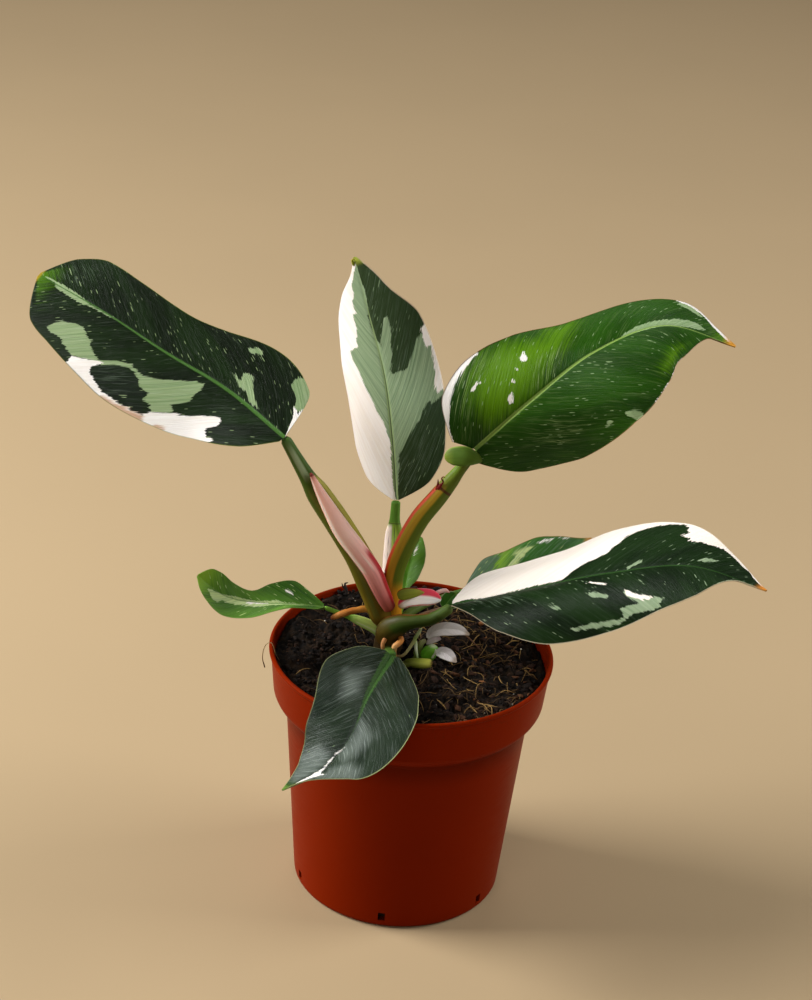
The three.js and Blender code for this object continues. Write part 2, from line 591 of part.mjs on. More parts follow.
// The wall of the root ball follows the inside of the pot, and its top is lumpy.
function soilGeometry() {
  const clear = POT.wall + GAP + 0.1;
  const [body, collar] = [POT.bodyRadius - clear, POT.collarRadius - clear];
  const topRadius = collar + 0.7;
  const profile = [
    [0, POT.floor + GAP], [POT.baseRadius - clear - 1.2, POT.floor + GAP],
    [POT.baseRadius - clear, POT.floor + GAP + 1.2],
    ...collarSwell(body, collar - 0.2, POT.collarFoot + clear), [topRadius, SOIL.level],
  ];
  for (let i = SOIL.rings - 1; i >= 0; i -= 1) profile.push([(topRadius * i) / SOIL.rings, SOIL.level]);
  const geometry = turned(profile, SOIL.segments);
  const position = geometry.attributes.position;
  for (let i = 0; i < position.count; i += 1) {
    const [x, y, z] = [position.getX(i), position.getY(i), position.getZ(i)];
    const inside = 1 - (Math.hypot(x, y) / topRadius) ** 6;
    if (z > SOIL.level - 0.01) position.setZ(i, z + soilHeap(y) + Math.max(inside, 0) * soilRise(x, y));
  }
  return geometry;
}

// Assembly. Each piece is cut clear of the pieces placed before it, which keeps GAP open
// wherever a stalk stands in its sheath, on the stem or in the soil.

const plant = new THREE.Group();
const placed = [];

function place(name, colour, build) {
  let solid = solidOf(build(0));
  placed.forEach((other) => {
    if (solid.intersect(other.grown).volume() > 0) solid = solid.subtract(other.grown);
  });
  const bodies = solid.decompose().sort((a, b) => b.volume() - a.volume());
  placed.push({ name, grown: solidOf(build(GAP)) });
  const [color, roughness] = COLOURS[colour];
  const material = new THREE.MeshStandardMaterial({ color, roughness, metalness: 0 });
  const mesh = new THREE.Mesh(geometryOf(bodies[0]), material);
  mesh.name = name;
  plant.add(mesh);
}

const placeBlade = (name, colour) => place(name, colour, (grow) => bladeGeometry(BLADES[name], grow));
const placeStalk = (name, colour) => place(name, colour, (grow) => stalkGeometry(STALKS[name], grow));

const BLADE_COLOURS = { pup_leaf_back: 'pup', pup_leaf_front: 'pup' };
Object.keys(BLADES).forEach((name) => placeBlade(name, BLADE_COLOURS[name] ?? 'leaf'));

const STALK_COLOURS = {
  new_leaf: 'blush',
  lobe_upper_right: 'shoot',
  sheath_right: 'blush',
  stem: 'stem',
  root_left: 'root',
  root_front: 'root',
  root_side: 'root',
  pup_shoot: 'shoot',
  pup_bud: 'shoot',
  pup_stub: 'shoot',
  dry_stalk: 'bark',
  bark_piece: 'bark',
};
Object.keys(STALKS).forEach((name) => placeStalk(name, STALK_COLOURS[name] ?? 'petiole'));

place('soil', 'soil', () => soilGeometry());

const pot = new THREE.Mesh(potGeometry(), new THREE.MeshStandardMaterial({
  color: COLOURS.pot[0], roughness: COLOURS.pot[1], metalness: 0,
}));
pot.name = 'pot';
plant.add(pot);

export default plant;
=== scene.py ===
# Looks of a potted white princess philodendron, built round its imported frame.
# The tables are in millimetres, and MM turns them into metres.
# +Z is up, and the leaf that hangs over the rim points to -Y.

import math

import bpy
import numpy as np
from mathutils import Matrix, Vector


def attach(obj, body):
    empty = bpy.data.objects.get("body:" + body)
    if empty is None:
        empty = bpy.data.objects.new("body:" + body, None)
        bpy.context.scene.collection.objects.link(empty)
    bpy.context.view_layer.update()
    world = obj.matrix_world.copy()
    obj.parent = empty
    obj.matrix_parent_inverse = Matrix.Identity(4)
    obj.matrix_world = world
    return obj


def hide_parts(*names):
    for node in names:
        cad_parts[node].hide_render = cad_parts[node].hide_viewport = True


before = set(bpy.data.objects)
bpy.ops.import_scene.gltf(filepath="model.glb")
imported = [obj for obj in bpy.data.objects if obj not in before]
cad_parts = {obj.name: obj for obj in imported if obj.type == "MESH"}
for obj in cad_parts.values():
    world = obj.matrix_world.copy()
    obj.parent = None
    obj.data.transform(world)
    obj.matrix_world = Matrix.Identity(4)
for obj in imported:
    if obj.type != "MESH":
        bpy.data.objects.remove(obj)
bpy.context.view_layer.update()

MM = 0.001
FRONT = (0, -1, 0)

# Camera: fitted to the pot's rim, collar and sides. The photograph is 812 by 1000 pixels.
CAMERA = dict(target=(-6.8, 0, 182.3), distance=1100, elevation=27.3, roll=4.09,
              focal_pixels=2686.8, long_side=1000, sensor=36)

# Mesh lines at full size. A blade has rows along it and columns on each half of it, fewer on a
# short blade. A stalk has rings for each span of its route.
FINE = 1.0
BLADE_MESH = dict(rows=164, half=46, lengths=(20, 60, 90), shares=(0.4, 0.6, 1))
STALK_MESH = dict(sides=36, rings=14)
POT_SIDES = 220
SOIL_MESH = dict(rings=112, sides=340)

# Where the half-widths of every leaf blade are given, from its base (0) to its tip (1).
STATIONS = (0, 0.07, 0.18, 0.33, 0.5, 0.67, 0.82, 0.92, 1)
CURL_WIDTH = 25  # each half of a blade turns over by its curl angle in this width
BLADE_THICKNESS = 0.5
TIP_END = 0.997  # share of the midrib where the sharp tip ends
BLUNT_END = 1.2  # length in which a stalk rounds off at its ends
KEEL = dict(height=1.3, width=1.1, share=0.8)  # share: of the solid's keel that the looks show
WAVE = dict(height=0.7, size=26)  # slow waves of a 100 mm blade, greatest at the margin
MIDRIB_GROOVE = dict(depth=0.4, width=0.8)
SIDE_VEINS = dict(spacing=5.2, depth=0.09, width=0.16, lean=1.05, bow=0.006)  # width: of the spacing

# Leaf blades. The eight larger ones were fitted by a program to outlines traced on the
# photograph, and then corrected. spine: points along the midrib. left, right:
# half-widths at STATIONS, seen from the upper face, looking to the tip. face: the way the upper
# face looks at even steps from base to tip. fold: how far each half stands up from flat, in
# degrees. curl: how far each half turns over CURL_WIDTH. lobe: sweep of the base lobes back.
# forward: sweep of the edges to the tip. Both sweeps are shares of the length.
# keel: height of the midrib under the solid, if not KEEL's. lean: how far a side vein runs to the
# tip for each mm outwards, if not SIDE_VEINS'. broad_rib: half-width of a pale midrib at the
# base, and the share of the length where it ends.
BLADES = {
    "leaf_upper_left": dict(
        spine=[(-58, 3, 205.5), (-83, 20.5, 216.5), (-110.5, 32, 226.5), (-137.5, 43.5, 237.5),
               (-166.5, 56.5, 246.5)],
        left=[3, 16, 24, 29.2, 31, 28, 23.4, 19, 0.5], right=[1, 25, 29.6, 24.6, 21.5, 22, 23, 17, 0.5],
        face=[(0.1, -0.44, 0.89), (0, -0.6, 0.8), (0.05, -0.58, 0.81), (0.05, -0.59, 0.8),
              (0, -0.55, 0.84)],
        fold=(-4, -7), curl=(-16, -2), forward=0.06,
    ),
    "leaf_centre": dict(
        spine=[(-11, 34, 164.5), (-14.5, 40.5, 190.5), (-19.5, 47.5, 215.5), (-27.5, 54, 239.5),
               (-35.5, 60.5, 263)],
        left=[1.5, 16, 22.5, 24.5, 24, 20, 12.5, 4, 0.5], right=[1.5, 16.5, 23.5, 25, 24, 22, 12.5, 7, 0.5],
        face=[(-0.47, -0.87, 0.15), (-0.49, -0.86, 0.14), (-0.44, -0.89, 0.14), (-0.47, -0.88, 0.1),
              (-0.5, -0.86, 0.06)],
        fold=(1, 1), curl=(-34, -29), forward=0.07, lean=1.5, broad_rib=(1.3, 0.9),
    ),
    "leaf_upper_right": dict(
        spine=[(20, 22.5, 196.5), (42, 22, 221.5), (65.5, 30.5, 240.5), (94, 40, 250.5),
               (124.5, 40, 243.5)],
        left=[10, 26.6, 31, 29, 21.5, 21, 19, 7.5, 0.5],
        right=[5.5, 25.5, 31.5, 35, 36.5, 30, 18.5, 1, 0.5],
        face=[(0.1, -0.99, -0.12), (-0.19, -0.91, 0.36), (-0.3, -0.47, 0.83), (0, -0.23, 0.97),
              (0.26, -0.23, 0.94)],
        fold=(10, 10), curl=(-34, -37), forward=0, lobe=0.025,
    ),
    "leaf_right": dict(
        spine=[(15.5, -2, 136), (47, -10.5, 151), (78, -21, 166.5), (108.5, -34.5, 179.5), (137, -53, 181)],
        left=[2, 18.5, 23.5, 28.5, 28.5, 24.5, 13, 7, 0.5], right=[1.5, 11, 25, 33, 29.5, 23, 15.5, 1, 0.5],
        face=[(-0.44, -0.07, 0.89), (-0.41, 0.09, 0.91), (-0.46, -0.12, 0.88), (-0.34, -0.21, 0.92),
              (0.2, 0.32, 0.92)],
        fold=(9, 15), curl=(-14, -59), forward=0.01,
    ),
    "leaf_front": dict(
        spine=[(-8.5, -11, 114.8), (-16.5, -47, 117), (-22, -70, 111.5), (-32, -84, 103), (-47, -97, 101)],
        left=[4, 12, 20, 23, 22, 19.5, 9.5, 2.5, 0.5], right=[3.5, 15, 22, 19.5, 18.5, 15, 9.5, 4.5, 0.5],
        face=[(0.36, -0.02, 0.93), (0.09, -0.08, 0.99), (-0.11, -0.29, 0.95), (-0.28, 0, 0.96),
              (-0.39, 0.4, 0.83)],
        fold=(16, 15), curl=(-31, -13), forward=0.04, keel=0.8, lean=1.2, broad_rib=(2.5, 0.45),
    ),
    "leaf_left": dict(
        spine=[(-38, 4, 127), (-52, 1, 129), (-66, -1, 129.5), (-79.5, -3, 133), (-91, -3.5, 142)],
        left=[1.5, 5, 5, 7, 10, 10, 7.5, 5, 0.5], right=[1.5, 7, 12, 9.5, 5, 6.5, 7.5, 6.5, 0.5],
        face=[(0.14, 0, 0.99), (0.12, -0.13, 0.98), (0.19, -0.38, 0.91), (0.39, -0.63, 0.67),
              (0.51, -0.63, 0.59)],
        fold=(17, 14), curl=(-8, 15), forward=0.07,
    ),
    "leaf_back_right": dict(
        spine=[(21.5, 34, 123), (34.5, 38, 128.5), (47.5, 42, 134), (61, 44, 140), (74, 43, 148)],
        left=[1, 8, 14, 12, 12.5, 9, 4.5, 2, 0.5], right=[1.5, 11, 15, 15.5, 14, 11.5, 9, 5.5, 0.5],
        face=[(-0.4, -0.17, 0.9), (-0.36, -0.34, 0.87), (-0.37, -0.32, 0.87)], fold=(3, 8), curl=(-8, -17),
        forward=0.12,
    ),
    "leaf_back_small": dict(
        spine=[(-4.5, 23, 126.5), (-4, 28, 130.5), (-3, 32, 135.5), (-1.5, 34, 141.5), (1, 36, 146.5)],
        left=[0.8, 2, 3.5, 4.5, 5, 4, 2.5, 1, 0.5], right=[0.8, 2.5, 5, 6, 6.5, 6, 4.5, 2.5, 0.5],
        face=[(-0.32, -0.75, 0.57), (-0.28, -0.77, 0.57), (-0.28, -0.77, 0.57)], fold=(7, 10),
        curl=(-18, -18), forward=0.08, keel=0.5,
    ),
    "leaf_base_right": dict(
        spine=[(12.5, 5, 130), (13.3, 5.8, 131.8), (14.4, 6.6, 133.5), (15.8, 7.4, 135), (17.4, 8, 136.2)],
        left=[0.8, 2.2, 3.2, 3.8, 3.8, 3.2, 2, 1.2, 0.5],
        right=[0.8, 2.2, 3.6, 4.4, 4.4, 3.6, 2.4, 1.4, 0.5],
        face=[(-0.1, -0.9, 0.3), (0, -0.9, 0.35), (0.1, -0.9, 0.3)], fold=(20, 6), curl=(-20, -20),
        forward=0.05, keel=0.4,
    ),
    "pup_leaf_back": dict(
        spine=[(6.5, 5.5, 114.5), (8.5, 6.5, 117.2), (13, 6.9, 119), (18.8, 6.4, 119.2), (24, 5, 118)],
        left=[0.8, 1.6, 2.2, 2.6, 2.8, 2.6, 2, 1.1, 0.4],
        right=[0.8, 1.8, 2.8, 3.4, 3.6, 3.2, 2.2, 1.2, 0.4],
        face=[(-0.6, -0.5, 0.6), (-0.2, -0.6, 0.8), (0.2, -0.6, 0.8)], fold=(12, 12), curl=(-30, -30),
        forward=0.05, keel=0.3,
    ),
    "pup_leaf_front": dict(
        spine=[(10.5, 1, 110), (12.4, 0.2, 111.4), (14.8, -0.8, 111.4), (17.1, -1.8, 110.2),
               (19.2, -2.6, 108.6)],
        left=[0.8, 1.4, 2.1, 2.5, 2.6, 2.3, 1.7, 1, 0.4], right=[0.8, 1.5, 2.4, 3, 3.1, 2.7, 1.9, 1.1, 0.4],
        face=[(-0.4, -0.6, 0.7), (0.1, -0.6, 0.8), (0.5, -0.5, 0.7)], fold=(10, 10), curl=(-30, -30),
        forward=0.05, keel=0.3,
    ),
}

# Variegation, and the gleam patches of painted highlight, as outlines on each blade. Many were
# traced on the photograph and mapped onto the blade by a program. A point is (percent of the
# length from base to tip, percent of the half-width, with the left half positive). A streak is a
# line of such points with its half-width in mm at both ends.
PATCHES = {
    "leaf_upper_left": {
        "white": [
            [(72, 86), (67, 75), (62, 64), (64, 78), (63, 85), (60, 89), (59, 112), (67, 112), (72, 112)],
            [(40, 89), (39, 83), (35, 74), (33, 70), (28, 64), (19, 47), (18, 54), (18, 65), (20, 75),
             (17, 90), (14, 93), (17, 112), (28, 112), (40, 112)],
            [(6, -59), (4, -73), (3, -115), (-3, -115), (-1, -60)],
        ],
        "sage": [
            [(86, 82), (85, 69), (83, 55), (80, 47), (77, 42), (75, 44), (73, 50), (71, 49), (70, 55),
             (68, 60), (65, 64), (62, 64), (64, 69), (67, 75), (72, 86), (77, 84), (80, 78), (84, 84)],
            [(52, 48), (49, 45), (46, 39), (43, 32), (39, 24), (35, 14), (32, 12), (32, 22), (32, 45),
             (36, 61), (33, 70), (39, 83), (41, 73), (44, 73), (44, 62), (48, 61), (49, 52)],
            [(27, -29), (26, -29), (24, -23), (24, -39), (22, -42), (19, -25), (13, -6), (17, -6),
             (20, -14), (23, -16)],
            [(12, -72), (12, -90), (9, -115), (3, -115), (4, -71), (6, -59), (8, -70)],
        ],
        "white_streaks": [([(62, 93), (55, 99), (47, 100), (38, 98)], 2, 2)],
        "sage_streaks": [
            ([(97, -9), (91, -2), (86, 1), (80, 4), (75, 2), (70, 0)], 1, 0.3),
            ([(91, 1), (86, 2), (82, 4)], 2.6, 1.6),
            ([(62, 64), (59, 51), (55, 44), (51, 45)], 0.9, 0.7),
            ([(24, -83), (25, -81)], 1.4, 1.4),
        ],
        "dark": [
            [(64, 84), (61, 65), (56, 51), (52, 49), (48, 58), (44, 62), (44, 73), (40, 90), (44, 100),
             (51, 95), (59, 91), (61, 88)],
        ],
        "lime": [[(104, -60), (97, -60), (96, 0), (97, 60), (104, 60)]],
        "gleam": [
            [(62, 82), (60, 64), (55, 56), (50, 62), (53, 86)],
            [(86, -30), (94, -20), (92, -70), (84, -80)],
        ],
        "scorch_streaks": [([(53, 101), (46, 99), (40, 98)], 0.6, 1.5), ([(34, 99), (32, 98)], 1, 0.9)],
    },
    "leaf_centre": {
        "white": [
            [(97, 10), (93, 63), (88, 64), (84, 46), (80, 51), (76, 38), (75, 50), (69, 42), (64, 48),
             (62, 45), (59, 66), (56, 66), (52, 56), (46, 45), (40, 34), (35, 26), (31, 15), (26, 8),
             (23, 4), (11, 6), (-4, 6), (-4, 112), (50, 115), (97, 115)],
            [(63, -112), (37, -112), (37, -86), (40, -87), (46, -92), (53, -96), (54, -87), (58, -88),
             (61, -91)],
        ],
        "sage": [
            [(104, 115), (104, -10), (92, -4), (88, -6), (50, -115), (30, -115), (28, -60), (20, -22),
             (10, -10), (-4, -10), (-4, 115)],
        ],
        "dark": [
            [(104, -10), (97, -40), (92, -112), (67, -112), (60, -90), (58, -76), (54, -62), (50, -47),
             (50, -17), (51, -13), (57, -25), (63, -30), (72, -44), (73, -31), (62, -7), (68, 1), (74, 5),
             (83, -8), (90, -17), (97, -10)],
            [(34, -85), (37, -112), (-4, -112), (-4, -18), (4, -15), (11, -12), (18, -12), (23, -26),
             (27, -41), (30, -55), (33, -59), (35, -69)],
        ],
        "gleam": [[(3, -14), (20, -26), (28, -60), (22, -96), (8, -90), (2, -50)]],
    },
    "leaf_upper_right": {
        "white": [
            [(22, 112), (-3, 112), (-3, 96), (2, 92), (4, 84), (6, 82), (10, 86), (14, 91), (20, 97)],
            [(79, 112), (81, 90), (85, 86), (89, 86), (95, 60), (99, 20), (103, 20), (103, 112)],
            [(33, 65), (32, 49), (30, 48), (30, 57)],
            [(22, 26), (20, 15), (19, 14), (19, 21)],
        ],
        "sage": [
            [(60, 3), (65, 10), (70, 15), (75, 15), (81, 24), (86, 30), (89, 26), (87, 10), (79, 0),
             (71, -3), (64, -2), (60, 0)],
            [(81, 90), (85, 84), (88, 78), (86, 66), (83, 70), (80, 78)],
            [(47, -84), (51, -87), (53, -95), (52, -104), (48, -92)],
            [(40, -77), (41, -81), (39, -84), (37, -81)],
        ],
        "white_streaks": [
            ([(24, 33), (24, 36)], 0.7, 0.7),
            ([(27, 45), (27, 47)], 0.4, 0.4),
            ([(16, 63), (13, 65)], 0.5, 0.4),
            ([(58, -100), (75, -100), (88, -101)], 0.1, 0.4),
        ],
        "lime": [
            [(40, 67), (44, 88), (50, 90), (43, 42), (29, 11), (18, 6), (10, 14), (11, 56), (15, 79),
             (21, 87), (31, 81)],
            [(76, -64), (80, -68), (76, -90), (68, -79)],
            [(93, -20), (93, 60), (104, 60), (104, -20)],
        ],
        "gleam": [
            [(3, 55), (8, 84), (18, 94), (22, 84), (12, 62), (6, 40)],
            [(27, 8), (33, 34), (42, 40), (40, 12)],
            [(14, -40), (26, -36), (34, -62), (20, -66)],
        ],
    },
    "leaf_right": {
        "white": [
            [(2, 10), (10, 0), (16, 1), (26, 4), (33, 3), (35, 7), (37, 17), (41, 33), (44, 35), (47, 43),
             (48, 52), (50, 62), (51, 73), (55, 83), (59, 89), (64, 93), (68, 97), (69, 87), (70, 77),
             (68, 69), (71, 66), (71, 59), (75, 68), (78, 75), (81, 87), (86, 90), (88, 85), (91, 94),
             (97, 70), (103, 30), (103, 115), (-4, 115), (-2, 20)],
            [(56, -43), (58, -48), (61, -59), (66, -71), (64, -74), (60, -64), (57, -56)],
        ],
        "sage": [
            [(56, -43), (58, -48), (61, -59), (66, -71), (70, -80), (68, -87), (69, -95), (66, -94),
             (63, -90), (59, -86), (57, -90), (54, -93), (44, -88), (39, -85), (46, -82), (54, -87),
             (56, -85), (55, -74), (57, -71), (61, -74), (58, -61), (56, -51)],
            [(32, -41), (34, -49), (37, -55), (36, -59), (34, -52)],
            [(76, 18), (78, 30), (82, 44), (81, 34), (79, 21)],
            [(11, -93), (13, -88), (14, -89), (13, -94)],
        ],
        "white_streaks": [([(44, -18), (47, -22), (50, -27)], 0.5, 0.3)],
        "sage_streaks": [
            ([(46, -42), (49, -45), (51, -49)], 1.1, 0.7),
            ([(55, 6), (59, 13)], 0.8, 0.5),
            ([(87, -95), (94, -60)], 0.7, 0.7),
        ],
        "gleam": [[(2, -6), (18, -6), (26, -36), (10, -54)]],
    },
    "leaf_front": {
        "white": [
            [(71, -3), (76, 3), (78, 20), (78, 44), (81, 36), (86, 14), (92, 4), (97, 0), (90, -14),
             (81, -12), (74, -6)],
        ],
        "white_streaks": [([(58, 4), (62, -4), (67, -6), (72, -5)], 0.2, 0.5)],
        "lime": [[(92, -110), (92, 110), (104, 110), (104, -110)]],
        "gleam": [
            [(64, 40), (72, 24), (84, 50), (82, 96), (70, 104), (64, 76)],
            [(42, 8), (62, 6), (66, 34), (48, 40)],
            [(14, -24), (27, -20), (31, -46), (19, -56)],
            [(66, -16), (76, -14), (92, -30), (90, -90), (72, -96), (62, -56)],
        ],
    },
    "leaf_left": {
        "sage": [
            [(89, 31), (84, 17), (79, -1), (67, -19), (52, -17), (37, -19), (27, -4), (14, -3), (16, 30),
             (24, 22), (38, 19), (50, 30), (60, 26), (69, 31), (75, 33), (77, 60), (83, 64)],
        ],
        "white_streaks": [([(57, 8), (48, 2), (42, 0)], 0.6, 0.3), ([(25, -57), (22, -43)], 0.5, 0.4)],
        "lime": [[(88, -110), (88, 110), (104, 110), (104, -110)]],
    },
    "leaf_back_right": {
        # On this blade the dark patch is painted shade over the base half, greyed by painted reflection.
        "dark": [[(-4, 115), (25, 115), (27, 83), (25, 50), (22, 20), (13, 5), (-4, 5)]],
        "lime": [[(26, 57), (29, 79), (32, 91), (34, 82), (32, 60), (30, 31), (26, 41)]],
        "sage": [
            [(40, 66), (43, 73), (51, 71), (53, 61), (49, 50), (46, 52), (48, 36), (44, 39), (42, 9),
             (38, 16), (35, 24), (38, 40), (42, 38)],
        ],
        "white_streaks": [([(56, 77), (60, 80), (66, 86)], 0.4, 0.3), ([(73, 88), (79, 92)], 0.3, 0.2)],
    },
    "leaf_back_small": {
        "sage_streaks": [([(70, -20), (92, -8)], 0.7, 0.3)],
        "white_streaks": [([(66, -10), (80, -12)], 0.4, 0.2)],
    },
}

# Colours of each blade, as (red, green, blue) out of 255. deep and light: the two greens that it
# wavers between. lime: young yellow-green. dark: the darkest sectors. flecks: share of the cells
# that hold a fleck. vein_sheen: strength of the pale lines of painted sheen along the side
# veins, in sheen_tone. gleam: the painted highlight that a gleam patch adds to those lines.
# sheen: how far such a patch pales as a whole, as painted sheen.
# rib_line: strength of the dark line in the midrib. tip_length: of the tip's own colour, in mm.
# gloss: roughness. shine: specular level. ragged: how torn the midrib's edge is, in mm.
# mottle: how torn the patches' edges are.
PLAIN_LEAF = dict(
    deep=(16, 30, 10), light=(26, 50, 15), lime=(92, 144, 20), dark=(24, 34, 20), sage=(146, 172, 122),
    sage_shade=(118, 148, 96), white=(255, 252, 246), rib=(70, 112, 44), edge=(96, 110, 40),
    tip=(150, 150, 50), sheen_tone=(120, 140, 116), tip_length=3, gloss=0.34, shine=0.18, ragged=0.4,
    mottle=1, flecks=0.2, vein_sheen=0.1, gleam=0.5, sheen=0, rib_line=0,
)
LEAF_LOOKS = {
    "leaf_upper_left": dict(
        deep=(12, 22, 7), light=(20, 38, 10), dark=(18, 28, 16), sage=(150, 172, 122), tip=(176, 150, 40),
        tip_length=2, flecks=0.4, shine=0.1,
    ),
    "leaf_centre": dict(
        deep=(30, 50, 22), dark=(39, 58, 32), sage=(136, 160, 124), sage_shade=(92, 120, 86),
        white=(255, 250, 246), rib=(140, 164, 112), rib_line=0.8, flecks=0.36, vein_sheen=0.3, gleam=0.5,
        sheen_tone=(112, 130, 112), edge=(206, 184, 160), tip=(150, 160, 60), tip_length=5,
    ),
    "leaf_upper_right": dict(
        deep=(27, 60, 8), light=(37, 78, 10), lime=(92, 138, 12), shine=0.08, rib=(140, 172, 84),
        edge=(122, 78, 44), flecks=0.42, gloss=0.32, vein_sheen=0.12, gleam=0.6, sheen_tone=(164, 188, 120),
        tip=(216, 150, 50), tip_length=7,
    ),
    "leaf_right": dict(
        shine=0.05, deep=(14, 27, 11), light=(24, 44, 17), white=(252, 242, 230), sage=(140, 160, 126),
        sage_shade=(112, 136, 100), dark=(16, 24, 14), rib=(44, 76, 32), edge=(196, 180, 150), flecks=0.3,
        tip=(206, 130, 50), tip_length=7, vein_sheen=0.08,
    ),
    "leaf_front": dict(
        deep=(24, 36, 24), light=(36, 50, 34), rib=(60, 92, 44), edge=(170, 176, 120), flecks=0.04,
        vein_sheen=0.4, gleam=0.6, sheen=0.5, sheen_tone=(126, 136, 128), lime=(52, 92, 26),
        tip=(104, 140, 56), tip_length=6, gloss=0.3, ragged=3,
    ),
    "leaf_left": dict(
        deep=(44, 84, 18), light=(98, 144, 48), sage=(204, 222, 150), lime=(128, 176, 44),
        rib=(110, 142, 72), edge=(104, 144, 54), tip=(130, 170, 44), tip_length=7, flecks=0.6, vein_sheen=0.2,
    ),
    "leaf_back_right": dict(
        # dark here is the grey-green of the painted shade and reflection on the base half.
        deep=(38, 84, 26), light=(60, 110, 38), lime=(150, 188, 54), dark=(74, 96, 72), mottle=2.6,
        sage=(200, 212, 130), edge=(150, 120, 70), tip=(180, 130, 60), tip_length=5, vein_sheen=0.35,
        flecks=0.5, sheen_tone=(168, 184, 168),
    ),
    "leaf_back_small": dict(
        deep=(66, 112, 20), light=(104, 156, 36), rib=(96, 150, 44), lime=(124, 170, 44), tip=(96, 150, 40),
    ),
    "leaf_base_right": dict(
        deep=(48, 104, 26), light=(72, 130, 36), rib=(110, 156, 60), edge=(190, 200, 160),
        tip=(110, 150, 60), tip_length=1.5,
    ),
    "pup_leaf_back": dict(
        deep=(214, 206, 202), light=(240, 234, 230), rib=(206, 198, 188), edge=(214, 204, 192),
        tip=(176, 158, 140), flecks=0, gloss=0.5, vein_sheen=0.3, sheen_tone=(150, 140, 136),
    ),
    "pup_leaf_front": dict(
        deep=(226, 218, 216), light=(250, 246, 244), rib=(216, 210, 200), edge=(220, 212, 200),
        tip=(176, 158, 140), flecks=0, gloss=0.5, vein_sheen=0.3, sheen_tone=(160, 150, 146),
    ),
}
SAGE_LIGHT = (182, 198, 166)
CREAM = (232, 216, 200)
SCORCH = (190, 140, 92)
UNDERSIDE = (120, 140, 100)

